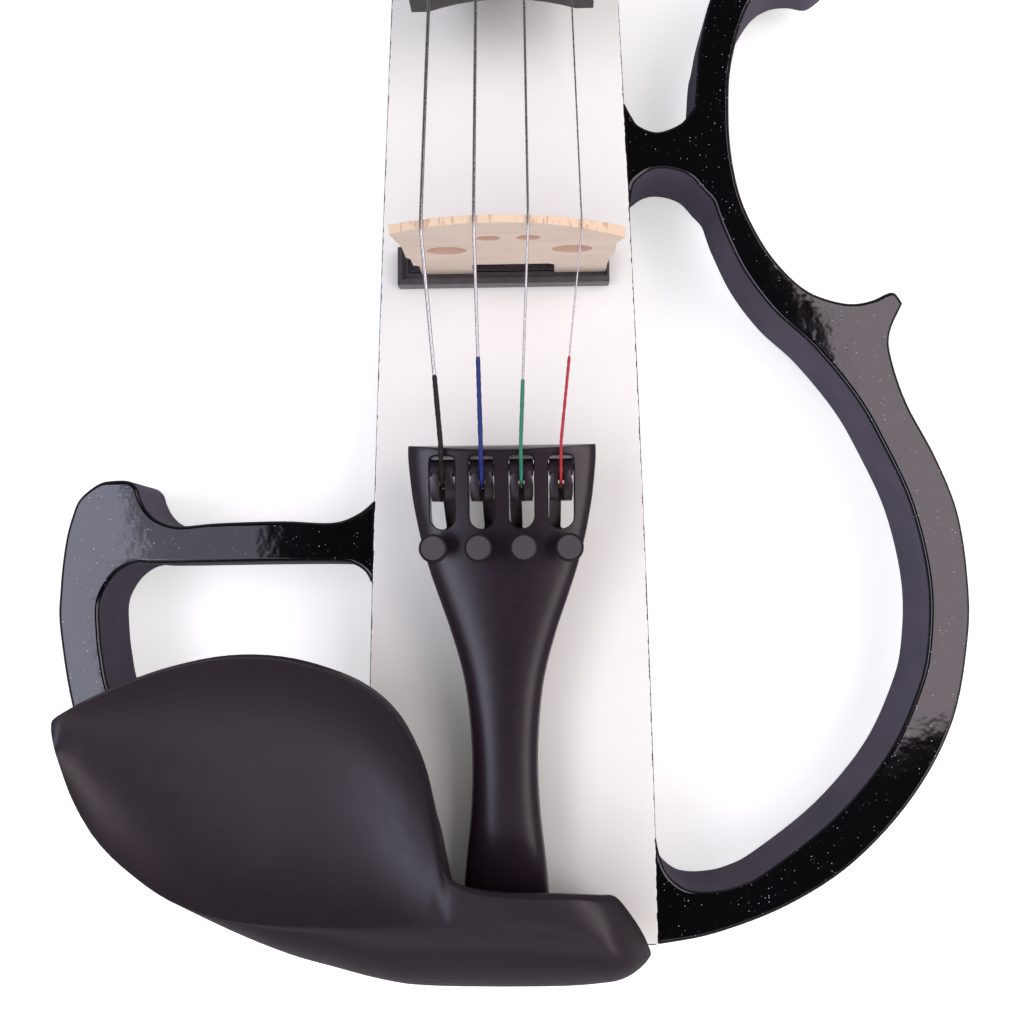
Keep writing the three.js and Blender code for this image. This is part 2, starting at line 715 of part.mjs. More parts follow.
const heartEye = { x: 4.4, z: bodyDepth + heartEyeRise, halfWidth: 2.7, halfHeight: 1.5 };

function bridgeProfile() {
  const side = (sign) => [
    [bridgeMiddleX + sign * bridgeHalfAtWaist, bridgeFlankZ],
    [bridgeMiddleX + sign * bridgeHalfAtWaist, bridgeStepHighZ + footCornerRise],
    [bridgeMiddleX + sign * bridgeHalfAtStep, bridgeStepHighZ],
    [bridgeMiddleX + sign * bridgeHalfAtStep, bridgeStepLowZ],
    [bridgeFeetX + sign * bridgeHalfAtFeet, bridgeStepLowZ - footCornerRise / 2],
    [bridgeFeetX + sign * bridgeHalfAtFeet, bridgeFootZ],
    [bridgeFeetX + sign * bridgeFootInner, bridgeFootZ],
    [bridgeFeetX + sign * bridgeFootInner, bridgeArchZ - footCornerRise / 2],
    [bridgeFeetX + sign * (bridgeFootInner - footCornerRise), bridgeArchZ],
  ];
  const pairs = [...side(-1), ...side(1).reverse()];
  const topSteps = 14;
  for (let step = 0; step <= topSteps; step += 1) {
    const x = bridgeMiddleX + bridgeHalfAtTop * (1 - (2 * step) / topSteps);
    pairs.push([x, bridgeTop(x) - seatGap]);
  }
  const shape = new THREE.Shape(pairs.map(([x, z]) => new THREE.Vector2(x, z)));
  for (const sign of [-1, 1]) {
    for (const eye of [kidney, heartEye]) {
      const hole = new THREE.Path();
      const x = bridgeMiddleX + sign * eye.x;
      hole.absellipse(x, eye.z, eye.halfWidth, eye.halfHeight, 0, 2 * Math.PI, true, 0);
      shape.holes.push(hole);
    }
  }
  return shape;
}

const bridgePlate = new THREE.ExtrudeGeometry(bridgeProfile(), {
  depth: bridgeThicknessAtFeet + 2 * overrun, bevelEnabled: false, curveSegments: 8,
});
bridgePlate.rotateX(Math.PI / 2).translate(0, bridgeThicknessAtFeet + overrun, 0);
const bridgeHighest = bodyDepth + bridgeRise + overrun;
const bridgeWedge = loft([-1, 1].map((sign) => {
  const x = bridgeMiddleX + sign * (bridgeHalfAtTop + overrun);
  return [
    at(x, bridgeTailFaceY, bridgeFootZ - overrun),
    at(x, bridgeTailFaceY + bridgeThicknessAtFeet, bridgeFootZ - overrun),
    at(x, bridgeTailFaceY + bridgeThicknessAtTop, bridgeHighest),
    at(x, bridgeTailFaceY, bridgeHighest),
  ];
}));
addPart('bridge', geometryFrom(solidFrom(bridgePlate).intersect(solidFrom(bridgeWedge))), 'maple');

// Pickup tray on the centre body, with the pickup bar under the bridge's feet

const trayLow = at(trayMiddle.x - trayLength / 2, trayMiddle.y - trayDepth / 2, bodyDepth + glueLine);
const trayHigh = at(trayMiddle.x + trayLength / 2, trayMiddle.y + trayDepth / 2, bodyDepth + trayHeight);
let tray = solidFrom(block(trayLow, trayHigh));
tray = tray.subtract(solidFrom(block(
  at(trayLow.x + trayWall, trayLow.y + trayWall * 2, bodyDepth + trayFloor),
  at(trayHigh.x - trayWall / 2, trayHigh.y - trayWall, bodyDepth + trayHeight + overrun),
)));
const pickupBarMiddleY = bridgeTailFaceY + bridgeThicknessAtFeet / 2;
const pickupBarLow = at(trayLow.x + 2 * trayWall, pickupBarMiddleY - pickupBarDepth / 2,
  bodyDepth + trayFloor - pickupBarHeight);
const pickupBarHigh = at(trayHigh.x - 2 * trayWall, pickupBarMiddleY + pickupBarDepth / 2,
  bodyDepth + trayFloor);
tray = tray.subtract(solidFrom(block(
  at(pickupBarLow.x - turnGap, pickupBarLow.y - turnGap, pickupBarLow.z - turnGap),
  at(pickupBarHigh.x + turnGap, pickupBarHigh.y + turnGap, pickupBarHigh.z + overrun),
)));
addPart('pickup_tray', geometryFrom(tray), 'blackPlastic');
addPart('pickup_bar', block(pickupBarLow, pickupBarHigh), 'darkMetal');

// Tailpiece: a moulded arch with four tuner slots, an axle through them and a pocket for the tail gut

const tailpieceTopY = -45;
const tailpieceToEnd = 8;
const tailpieceEndY = -tailReach + tailpieceToEnd;
const tailpieceRiseAtTop = 25.3;
const tailpieceRiseAtEnd = 12.4;
const tailpieceShell = 3;
const tailpieceArch = 4.4;
const tailpieceEdge = 2.2;
const tailpieceTopHalf = 20.6;
const tailpieceLengthShares = [0, 0.04, 0.13, 0.243, 0.39, 0.485, 0.58, 0.678, 0.774, 0.87, 0.95, 0.985, 1];
const tailpieceWidthShares = [1, 0.995, 0.94, 0.81, 0.56, 0.433, 0.373, 0.356, 0.378, 0.43, 0.46, 0.43, 0.36];

const slotHalf = 2.75;
const slotTopY = -47.7;
const slotEndY = -63.4;
const leverAxleY = -50;
const leverAxleDrop = 2.6;
const leverAxleRadius = 0.9;
const leverAxleSeat = 1.5;
const screwY = -67.8;
const screwHeadRadius = 3.1;
const screwHeadHeight = 2.6;
const screwHeadLift = 3;
const screwShaftRadius = 1.1;
const screwReach = 10.5;

const tailpieceLength = tailpieceTopY - tailpieceEndY;
const tailpieceShare = (y) => (tailpieceTopY - y) / tailpieceLength;
const tailpieceCrown = (y) => bodyDepth + THREE.MathUtils.lerp(
  tailpieceRiseAtTop, tailpieceRiseAtEnd, tailpieceShare(y),
);

// The half width at a place, smoothed between the shares of the table.
const tailpieceWidthCurve = new THREE.SplineCurve(tailpieceLengthShares.map(
  (share, place) => new THREE.Vector2(share, tailpieceWidthShares[place]),
));

function tailpieceHalf(y) {
  const wanted = tailpieceShare(y);
  const last = tailpieceLengthShares.length - 1;
  let place = 0;
  while (place < last - 1 && tailpieceLengthShares[place + 1] < wanted) place += 1;
  const span = tailpieceLengthShares[place + 1] - tailpieceLengthShares[place];
  const within = THREE.MathUtils.clamp((wanted - tailpieceLengthShares[place]) / span, 0, 1);
  return tailpieceTopHalf * tailpieceWidthCurve.getPoint((place + within) / last).y;
}

function tailpieceRing(y, half, crown, arch, edge) {
  const ring = [];
  const steps = 10;
  for (let step = 0; step <= steps; step += 1) {
    const angle = (Math.PI * step) / steps;
    const rise = arch * Math.sin(angle) ** 0.8;
    ring.push(at(half * Math.cos(angle), y, crown - arch + rise));
  }
  ring.push(at(-half, y, crown - arch - edge), at(half, y, crown - arch - edge));
  return ring;
}

const tailpieceStations = 22;
const tailpieceRings = [];
for (let step = 0; step <= tailpieceStations; step += 1) {
  const y = tailpieceTopY - (tailpieceLength * step) / tailpieceStations;
  tailpieceRings.push(tailpieceRing(y, tailpieceHalf(y), tailpieceCrown(y), tailpieceArch, tailpieceEdge));
}
let tailpiece = solidFrom(moved(loft(tailpieceRings), tailpieceShift, 0, 0));

const hollowLength = 36;
const underRings = [];
for (let step = 0; step <= 8; step += 1) {
  const y = slotTopY - (hollowLength * step) / 8;
  const half = tailpieceHalf(y) - tailpieceShell;
  const crown = tailpieceCrown(y) - tailpieceShell;
  underRings.push(tailpieceRing(y, half, crown, tailpieceArch - sink, tailpieceEdge + overrun));
}
tailpiece = tailpiece.subtract(solidFrom(moved(loft(underRings), tailpieceShift, 0, 0)));

for (const string of strings) {
  const slot = new THREE.Shape();
  slot.moveTo(string.tunerX - slotHalf, slotTopY);
  slot.lineTo(string.tunerX - slotHalf, slotEndY + slotHalf);
  slot.absarc(string.tunerX, slotEndY + slotHalf, slotHalf, Math.PI, 2 * Math.PI, false);
  slot.lineTo(string.tunerX + slotHalf, slotTopY);
  const cut = new THREE.ExtrudeGeometry(slot, { depth: bodyDepth, bevelEnabled: false, curveSegments: 8 });
  tailpiece = tailpiece.subtract(solidFrom(cut.translate(0, 0, tailpieceCrown(slotEndY) - bodyDepth / 2)));
  tailpiece = tailpiece.subtract(solidFrom(bar(
    'z', screwShaftRadius + turnGap, bodyDepth, bodyDepth * 2, at(string.screwX, screwY, 0), 12,
  )));
}

const leverAxleZ = tailpieceCrown(leverAxleY) - tailpieceArch + leverAxleDrop / 2;
const leverAxleHalf = strings.at(-1).tunerX - tailpieceShift + slotHalf + leverAxleSeat;
tailpiece = tailpiece.subtract(solidFrom(bar(
  'x', leverAxleRadius + turnGap, -leverAxleHalf - turnGap, leverAxleHalf + turnGap,
  at(tailpieceShift, leverAxleY, leverAxleZ), 12,
)));

const gutRadius = 1.1;
const gutHalfSpacing = 5;
const gutNutLength = 5;
const gutNutRadius = 2;
const gutWallThickness = 4;
const gutWallY = tailpieceEndY + gutWallThickness;
const gutPocketEndY = gutWallY + 2 * gutNutLength;
const gutZ = tailpieceCrown(tailpieceEndY) - tailpieceArch;
tailpiece = tailpiece.subtract(solidFrom(block(
  at(tailpieceShift - gutHalfSpacing - gutNutRadius - seatGap, gutWallY, bodyDepth),
  at(tailpieceShift + gutHalfSpacing + gutNutRadius + seatGap, gutPocketEndY, gutZ + gutNutRadius + seatGap),
)));
for (const side of [-1, 1]) {
  tailpiece = tailpiece.subtract(solidFrom(bar(
    'y', gutRadius + turnGap, tailpieceEndY - overrun, gutWallY + overrun,
    at(tailpieceShift + side * gutHalfSpacing, 0, gutZ), 12,
  )));
}
addPart('tailpiece', geometryFrom(tailpiece), 'darkPlastic');
addPart('tuner_axle', bar('x', leverAxleRadius, -leverAxleHalf, leverAxleHalf,
  at(tailpieceShift, leverAxleY, leverAxleZ), 12), 'darkMetal');

// Fine tuners: a forked lever on the axle holds the string's ball, and a knurled screw presses its long arm

const leverHalf = 2.5;
const leverHubRadius = 1.9;
const leverForkLength = 7.2;
const forkThickness = 3;
const forkGap = 0.75;
const ballPocket = 2;
const leverArmHalf = 1.6;
const leverArmInset = 0.7;
const leverArmThickness = 1.6;
const leverPadHalf = 2;
const knurlTeeth = 20;
const knurlDepth = 0.22;
const ballRadius = 1.3;
const ballHalfLength = 1.5;
const ballDrop = 0.9;

const screwTipZ = tailpieceCrown(screwY) - screwReach;
const armZ = screwTipZ - seatGap - leverArmThickness;

function leverSolid(string) {
  const axle = at(string.tunerX, leverAxleY, leverAxleZ);
  const forkEndY = leverAxleY - leverForkLength;
  let lever = solidFrom(bar('x', leverHubRadius, -leverHalf, leverHalf, axle, 14));
  lever = lever.add(solidFrom(block(
    at(axle.x - leverHalf, forkEndY, axle.z - forkThickness / 2 - sink),
    at(axle.x + leverHalf, leverAxleY, axle.z + forkThickness / 2 - sink),
  )));
  const armFrom = (y, centreX, half, top) => [
    at(centreX - half, y, top - leverArmThickness), at(centreX + half, y, top - leverArmThickness),
    at(centreX + half, y, top), at(centreX - half, y, top),
  ];
  const armTop = armZ + leverArmThickness;
  const armX = axle.x - Math.sign(string.offset) * leverArmInset;
  lever = lever.add(solidFrom(loft([
    armFrom(forkEndY + sink, armX, leverArmHalf, axle.z - sink),
    armFrom(forkEndY - leverArmThickness * 2, armX, leverArmHalf, armTop + sink),
    armFrom(screwY + screwShaftRadius, string.screwX, leverPadHalf, armTop),
    armFrom(screwY - screwShaftRadius * 2, string.screwX, leverPadHalf, armTop),
  ])));
  lever = lever.subtract(solidFrom(bar(
    'x', leverAxleRadius + turnGap, -leverHalf - overrun, leverHalf + overrun, axle, 12,
  )));
  lever = lever.subtract(solidFrom(block(
    at(axle.x - forkGap, forkEndY + ballPocket, axle.z - forkThickness),
    at(axle.x + forkGap, leverAxleY - leverAxleRadius - sink, axle.z + forkThickness),
  )));
  return lever;
}

// The knurled head, its collar and its plain shaft in one turned and toothed piece.
function tunerScrewSolid(string) {
  const crown = tailpieceCrown(screwY);
  const headBottom = crown + screwHeadLift;
  const outline = new THREE.Shape();
  for (let tooth = 0; tooth < knurlTeeth * 2; tooth += 1) {
    const angle = (Math.PI * tooth) / knurlTeeth;
    const radius = screwHeadRadius - (tooth % 2) * knurlDepth;
    const x = radius * Math.cos(angle);
    const y = radius * Math.sin(angle);
    if (tooth === 0) outline.moveTo(x, y);
    else outline.lineTo(x, y);
  }
  const head = new THREE.ExtrudeGeometry(outline, { depth: screwHeadHeight, bevelEnabled: false });
  head.translate(string.screwX, screwY, headBottom);
  const shaft = bar('z', screwShaftRadius, screwTipZ, headBottom + sink, at(string.screwX, screwY, 0), 12);
  return solidFrom(head).add(solidFrom(shaft));
}

for (const string of strings) {
  addPart(`tuner_lever_${string.name}`, geometryFrom(leverSolid(string)), 'darkPlastic');
  addPart(`tuner_screw_${string.name}`, geometryFrom(tunerScrewSolid(string)), 'darkPlastic');
}

// Strings: one unbroken wire each, from the ball in the fork over bridge and nut to the turns on the peg

const stringSides = 6;
const windingTurns = 3;
const windingSteps = 24;
const windingSpace = 0.5;
const windingInset = 0.5;

// A route of chosen points that an extrusion follows point by point.
class WireRoute extends THREE.Curve {
  constructor(points) {
    super();
    this.points = points;
  }

  getPoint(share, target = new THREE.Vector3()) {
    const place = share * (this.points.length - 1);
    const low = Math.min(Math.floor(place), this.points.length - 2);
    return target.lerpVectors(this.points[low], this.points[low + 1], place - low);
  }

  getPointAt(share, target) {
    return this.getPoint(share, target);
  }

  getTangentAt(share, target = new THREE.Vector3()) {
    const place = Math.round(share * (this.points.length - 1));
    const before = this.points[Math.max(place - 1, 0)];
    const after = this.points[Math.min(place + 1, this.points.length - 1)];
    return target.subVectors(after, before).normalize();
  }
}

function wire(points, radius, sides) {
  const section = new THREE.Shape(Array.from({ length: sides }, (unused, side) => {
    const angle = (2 * Math.PI * side) / sides;
    return new THREE.Vector2(radius * Math.cos(angle), radius * Math.sin(angle));
  }));
  return new THREE.ExtrudeGeometry(section, {
    steps: points.length - 1, bevelEnabled: false, extrudePath: new WireRoute(points),
  });
}

// Points of a string's turns on its peg, from the side next to the cheek inwards.
function windingPoints(string, from) {
  const radius = pegRadius + seatGap + string.radius;
  const pitch = 2 * string.radius + windingSpace;
  const reach = Math.hypot(string.pegY - from.y, from.z - pegAxisZ);
  const lean = Math.atan2(from.z - pegAxisZ, from.y - string.pegY);
  const touch = lean - Math.acos(radius / reach);
  const startX = pegboxHalf(string.pegY) - pegboxWall - windingInset - string.radius;
  const points = [];
  for (let step = 0; step <= windingTurns * windingSteps; step += 1) {
    const turn = step / windingSteps;
    const angle = touch - 2 * Math.PI * turn;
    points.push(at(
      string.pegSide * (startX - pitch * turn),
      string.pegY + radius * Math.cos(angle),
      pegAxisZ + radius * Math.sin(angle),
    ));
  }
  const last = points.at(-1);
  const ahead = new THREE.Vector3().subVectors(last, points.at(-2)).normalize();
  points.push(last.clone().addScaledVector(ahead, 2 * string.radius));
  return points;
}

function stringRoute(string) {
  const forkMiddleY = leverAxleY - leverForkLength / 2 - sink;
  const overAxleZ = leverAxleZ + leverHubRadius + seatGap + string.radius;
  const overEdgeZ = tailpieceCrown(tailpieceTopY) + seatGap + string.radius;
  const leaveNut = at(string.nutX, stringLength + nutThickness + seatGap, string.nutZ);
  return [
    at(string.tunerX, forkMiddleY, leverAxleZ - forkThickness / 2 - sink - ballDrop),
    at(string.tunerX, forkMiddleY + sink, leverAxleZ + sink),
    at(string.tunerX, leverAxleY, overAxleZ),
    at(string.tunerX, slotTopY - stringLift, overEdgeZ),
    at(string.tunerX, tailpieceTopY, overEdgeZ),
    at(string.bridgeX, bridgeLineY - bridgeThicknessAtTop, string.bridgeZ),
    at(string.bridgeX, bridgeLineY, string.bridgeZ),
    at(string.bridgeX, bridgeLineY + bridgeThicknessAtTop, string.bridgeZ),
    at(string.nutX, stringLength, string.nutZ),
    leaveNut,
    ...windingPoints(string, leaveNut),
  ];
}

// Least gap of a route to itself, between points more than a quarter turn apart, less the wire's own width.
function leastGap(points, radius) {
  let least = Infinity;
  const apart = windingSteps / 4;
  for (let first = 0; first < points.length; first += 1) {
    for (let second = first + apart; second < points.length; second += 1) {
      least = Math.min(least, points[first].distanceTo(points[second]));
    }
  }
  return least - 2 * radius;
}

for (const string of strings) {
  const route = stringRoute(string);
  const turns = route.slice(-(windingTurns * windingSteps + 1));
  const gap = leastGap(turns, string.radius).toFixed(2);
  console.log(`string ${string.name}: least gap between its turns ${gap} mm`);
  const ballX = bar('x', ballRadius, -ballHalfLength, ballHalfLength,
    at(route[0].x, route[0].y, route[0].z - ballRadius + sink / 2), 12);
  addPart(`string_${string.name}`, geometryFrom(solidFrom(wire(route, string.radius, stringSides))
    .add(solidFrom(ballX))), 'stringMetal');
}

// Pegs: a turned shaft and collar with a flat oval head, one for each string

const pegHeadCollarRadius = 5.6;
const pegHeadCollarLength = 2.4;
const pegHeadGap = 2.2;
const pegTipOut = 1.5;
const pegStem = 5;
const pegThumbLong = 11;
const pegThumbTall = 7.6;
const pegThumbHalfThickness = 3.1;
const pegThumbTurns = { g: 0.35, d: -0.5, a: 0.8, e: -0.2 };

function pegSolid(string) {
  const cheek = pegboxHalf(string.pegY);
  const collarFrom = cheek + pegHeadGap;
  const stemEnd = collarFrom + pegHeadCollarLength + pegStem;
  const shaft = turned([
    [0, -cheek - pegTipOut],
    [pegRadius - sink, -cheek - pegTipOut],
    [pegRadius, -cheek - pegTipOut + sink],
    [pegRadius, collarFrom],
    [pegHeadCollarRadius, collarFrom + sink],
    [pegHeadCollarRadius, collarFrom + pegHeadCollarLength - sink],
    [pegRadius - sink, collarFrom + pegHeadCollarLength],
    [pegRadius, stemEnd],
    [0, stemEnd],
  ], 'y', at(0, 0, 0), 16);
  const thumb = new THREE.SphereGeometry(1, 12, 6);
  thumb.scale(pegThumbLong, pegThumbTall, pegThumbHalfThickness);
  thumb.translate(0, stemEnd + pegThumbTall - pegStem / 2, 0);
  const tipButton = new THREE.SphereGeometry(pegHeadGap, 6, 4);
  tipButton.translate(0, stemEnd + 2 * pegThumbTall - pegStem / 2, 0);
  const peg = solidFrom(shaft).add(solidFrom(thumb)).add(solidFrom(tipButton));
  const geometry = geometryFrom(peg);
  geometry.rotateY(pegThumbTurns[string.name]);
  alongAxis(geometry, 'x');
  if (string.pegSide < 0) geometry.rotateY(Math.PI);
  return geometry.translate(0, string.pegY, pegAxisZ);
}

for (const string of strings) addPart(`peg_${string.name}`, pegSolid(string), 'darkWood');

// Saddle, end button and the tail gut that runs from the tailpiece over the saddle and round the button

const saddleHalf = 11.4;
const saddleDepth = 5;
const gutFall = 0.9;
const saddleRise = gutZ - gutRadius - seatGap - bodyDepth - gutFall;
const buttonHeadRadius = 7.2;
const buttonHeadLength = 4.2;
const buttonNeckLength = 3.2;
const gutLoopRadius = buttonStemRadius + seatGap + gutRadius;

const saddleProfile = new THREE.Shape();
const saddleTop = bodyDepth + saddleRise;
const saddleFlatHalf = gutLoopRadius * 1.4;
saddleProfile.moveTo(-saddleHalf, bodyDepth + glueLine);
saddleProfile.lineTo(saddleHalf, bodyDepth + glueLine);
saddleProfile.quadraticCurveTo(saddleHalf * 0.7, saddleTop, saddleFlatHalf, saddleTop);
saddleProfile.lineTo(-saddleFlatHalf, saddleTop);
saddleProfile.quadraticCurveTo(-saddleHalf * 0.7, saddleTop, -saddleHalf, bodyDepth + glueLine);
const saddle = new THREE.ExtrudeGeometry(saddleProfile, {
  depth: saddleDepth, bevelEnabled: false, curveSegments: 4,
});
saddle.rotateX(Math.PI / 2).translate(0, -tailReach + saddleDepth, 0);
addPart('lower_saddle', saddle, 'darkWood');

addPart('end_button', turned([
  [0, -tailReach - buttonNeckLength - buttonHeadLength],
  [buttonHeadRadius * 0.6, -tailReach - buttonNeckLength - buttonHeadLength],
  [buttonHeadRadius, -tailReach - buttonNeckLength - buttonHeadLength / 2],
  [buttonHeadRadius, -tailReach - buttonNeckLength - sink],
  [buttonHeadRadius - sink, -tailReach - buttonNeckLength],
  [buttonStemRadius, -tailReach - buttonNeckLength],
  [buttonStemRadius, -tailReach + buttonHoleDepth - seatGap],
  [0, -tailReach + buttonHoleDepth - seatGap],
], 'y', at(0, 0, buttonAxisZ), 20), 'darkWood');

function gutRoute() {
  const saddleTopZ = bodyDepth + saddleRise + seatGap + gutRadius;
  const hangY = -tailReach - buttonNeckLength / 2;
  const inTailpiece = (side) => [
    [side * gutHalfSpacing + tailpieceShift, gutPocketEndY - gutNutLength / 2, gutZ],
    [side * gutHalfSpacing + tailpieceShift, gutWallY, gutZ],
    [side * gutHalfSpacing + tailpieceShift, tailpieceEndY - sink, gutZ],
  ];
  const overSaddle = (side) => [
    [gutHalfSpacing, -tailReach + saddleDepth, saddleTopZ],
    [gutHalfSpacing, -tailReach + saddleDepth / 2, saddleTopZ],
    [gutHalfSpacing, -tailReach, saddleTopZ],
    [gutHalfSpacing, hangY + gutRadius / 2, saddleTopZ - gutRadius / 3],
    [gutHalfSpacing, hangY, saddleTopZ - gutRadius],
    [gutLoopRadius, hangY, saddleTopZ - 3 * gutRadius],
    [gutLoopRadius, hangY, (saddleTopZ + buttonAxisZ) / 2],
    [gutLoopRadius, hangY, buttonAxisZ],
  ].map(([x, y, z]) => [side * x, y, z]);
  const leg = (side) => [...inTailpiece(side), ...overSaddle(side)].map(([x, y, z]) => at(x, y, z));
  const left = leg(-1);
  const right = leg(1).reverse();
  const loop = [];
  const loopSteps = 10;
  for (let step = 1; step < loopSteps; step += 1) {
    const angle = Math.PI + (Math.PI * step) / loopSteps;
    loop.push(at(gutLoopRadius * Math.cos(angle), hangY, buttonAxisZ + gutLoopRadius * Math.sin(angle)));
  }
  return [...left, ...loop, ...right];
}

addPart('tail_gut', wire(gutRoute(), gutRadius, 8), 'gutPlastic');
for (const [label, side] of [['bass', -1], ['treble', 1]]) {
  const sleeve = solidFrom(bar('y', gutNutRadius, gutWallY + seatGap, gutWallY + seatGap + gutNutLength,
    at(side * gutHalfSpacing + tailpieceShift, 0, gutZ), 12));
  const bore = solidFrom(bar('y', gutRadius + turnGap, gutWallY, gutWallY + seatGap + gutNutLength + overrun,
    at(side * gutHalfSpacing + tailpieceShift, 0, gutZ), 12));
  addPart(`gut_nut_${label}`, geometryFrom(sleeve.subtract(bore)), 'brassMetal');
}

// Chin rest: a dished cup that runs out into a hump over the tailpiece, with two feet on the centre body

// Sections from the cup's tip to the treble end, as shares of the half span, the tail reach and the rise.
// Each row: x; y and rise of the tail edge, of the slope above it and of the tail lip; depth of the dish;
// y and rise of the front lip and of the front edge; tail inset, front inset and rise of the underside.
const chinRise = 34;
const chinSectionShares = [
  [-0.863, [-0.661, 0.91], [-0.659, 0.93], [-0.658, 0.96], 0,
    [-0.651, 0.97], [-0.649, 0.93], [0.2, 0.2, 0.84]],
  [-0.843, [-0.710, 0.88], [-0.697, 0.93], [-0.678, 0.97], 0.024,
    [-0.644, 0.99], [-0.639, 0.92], [0.25, 0.25, 0.77]],
  [-0.801, [-0.772, 0.82], [-0.758, 0.90], [-0.737, 0.97], 0.088,
    [-0.629, 1.00], [-0.624, 0.91], [0.28, 0.3, 0.66]],
  [-0.722, [-0.853, 0.75], [-0.836, 0.86], [-0.807, 0.96], 0.165,
    [-0.607, 1.00], [-0.600, 0.91], [0.28, 0.3, 0.545]],
  [-0.630, [-0.899, 0.68], [-0.883, 0.81], [-0.854, 0.95], 0.212,
    [-0.587, 1.00], [-0.580, 0.91], [0.28, 0.3, 0.465]],
  [-0.528, [-0.940, 0.62], [-0.924, 0.78], [-0.890, 0.94], 0.235,
    [-0.574, 1.00], [-0.567, 0.91], [0.26, 0.3, 0.41]],
  [-0.426, [-0.973, 0.54], [-0.955, 0.73], [-0.909, 0.92], 0.241,
    [-0.577, 1.00], [-0.569, 0.91], [0.22, 0.3, 0.35]],
  [-0.333, [-0.998, 0.46], [-0.977, 0.68], [-0.911, 0.90], 0.229,
    [-0.594, 0.99], [-0.585, 0.90], [0.14, 0.3, 0.28]],
  [-0.259, [-1.016, 0.38], [-0.993, 0.63], [-0.914, 0.89], 0.206,
    [-0.618, 0.98], [-0.608, 0.88], [0.06, 0.3, 0.22]],
  [-0.204, [-1.024, 0.34], [-1.001, 0.61], [-0.914, 0.87], 0.176,
    [-0.655, 0.96], [-0.643, 0.87], [0.04, 0.3, 0.206]],
  [-0.167, [-1.030, 0.31], [-1.006, 0.59], [-0.916, 0.86], 0.147,
    [-0.706, 0.95], [-0.688, 0.85], [0.03, 0.3, 0.206]],
  [-0.144, [-1.034, 0.29], [-1.009, 0.58], [-0.917, 0.86], 0.118,
    [-0.760, 0.94], [-0.735, 0.84], [0.03, 0.3, 0.206]],
  [-0.130, [-1.035, 0.28], [-1.010, 0.57], [-0.918, 0.86], 0.088,
    [-0.836, 0.92], [-0.801, 0.82], [0.03, 0.3, 0.206]],
  [-0.119, [-1.035, 0.27], [-1.011, 0.56], [-0.917, 0.85], 0.065,
    [-0.879, 0.91], [-0.847, 0.79], [0.03, 0.28, 0.206]],
  [-0.102, [-1.036, 0.26], [-1.011, 0.56], [-0.916, 0.85], 0.035,
    [-0.885, 0.89], [-0.865, 0.76], [0.03, 0.27, 0.206]],
  [-0.065, [-1.036, 0.26], [-1.011, 0.56], [-0.916, 0.85], 0.012,
    [-0.890, 0.87], [-0.876, 0.75], [0.03, 0.27, 0.206]],
  [0.009, [-1.037, 0.26], [-1.012, 0.56], [-0.920, 0.85], -0.006,
    [-0.899, 0.85], [-0.887, 0.74], [0.03, 0.27, 0.206]],
  [0.083, [-1.036, 0.26], [-1.012, 0.55], [-0.926, 0.84], -0.009,
    [-0.903, 0.84], [-0.891, 0.74], [0.03, 0.27, 0.206]],
  [0.139, [-1.036, 0.26], [-1.011, 0.55], [-0.931, 0.84], -0.009,
    [-0.905, 0.83], [-0.893, 0.74], [0.03, 0.27, 0.206]],
  [0.176, [-1.034, 0.26], [-1.010, 0.54], [-0.940, 0.82], -0.009,
    [-0.909, 0.78], [-0.896, 0.71], [0.03, 0.27, 0.206]],
  [0.208, [-1.029, 0.26], [-1.006, 0.53], [-0.956, 0.80], -0.009,
    [-0.915, 0.71], [-0.902, 0.65], [0.03, 0.27, 0.206]],
  [0.241, [-1.023, 0.26], [-1.001, 0.49], [-0.970, 0.71], -0.009,
    [-0.940, 0.61], [-0.928, 0.55], [0.04, 0.3, 0.206]],
  [0.269, [-1.012, 0.25], [-0.999, 0.39], [-0.982, 0.53], -0.006,
    [-0.969, 0.46], [-0.961, 0.41], [0.06, 0.3, 0.206]],
  [0.285, [-1.003, 0.25], [-0.996, 0.29], [-0.989, 0.34], 0,
    [-0.989, 0.34], [-0.986, 0.31], [0.1, 0.3, 0.21]],
];
const chinUnderShare = 0.206;
const dishSteps = 6;
const dishPower = 2.4;
const chinWallIn = 0.25;
const chinWallDown = 0.6;

function chinRing([shareX, tail, slope, lip, dish, front, edge, [tailInset, frontInset, underRise]]) {
  const spot = (shareY, rise) => at(shareX * halfSpan, shareY * tailReach, bodyDepth + rise * chinRise);
  const frontY = THREE.MathUtils.lerp(edge[0], tail[0], frontInset);
  const ring = [spot(THREE.MathUtils.lerp(tail[0], edge[0], tailInset), underRise)];
  ring.push(spot(...tail), spot(...slope), spot(...lip));
  for (let step = 1; step < dishSteps; step += 1) {
    const share = step / dishSteps;
    const depth = dish * (1 - Math.abs(2 * share - 1) ** dishPower);
    const rise = THREE.MathUtils.lerp(lip[1], front[1], share) - depth;
    ring.push(spot(THREE.MathUtils.lerp(lip[0], front[0], share), rise));
  }
  ring.push(spot(...front), spot(...edge));
  ring.push(spot(
    THREE.MathUtils.lerp(edge[0], frontY, chinWallIn), THREE.MathUtils.lerp(edge[1], underRise, chinWallDown),
  ));
  ring.push(spot(frontY, underRise));
  return ring;
}

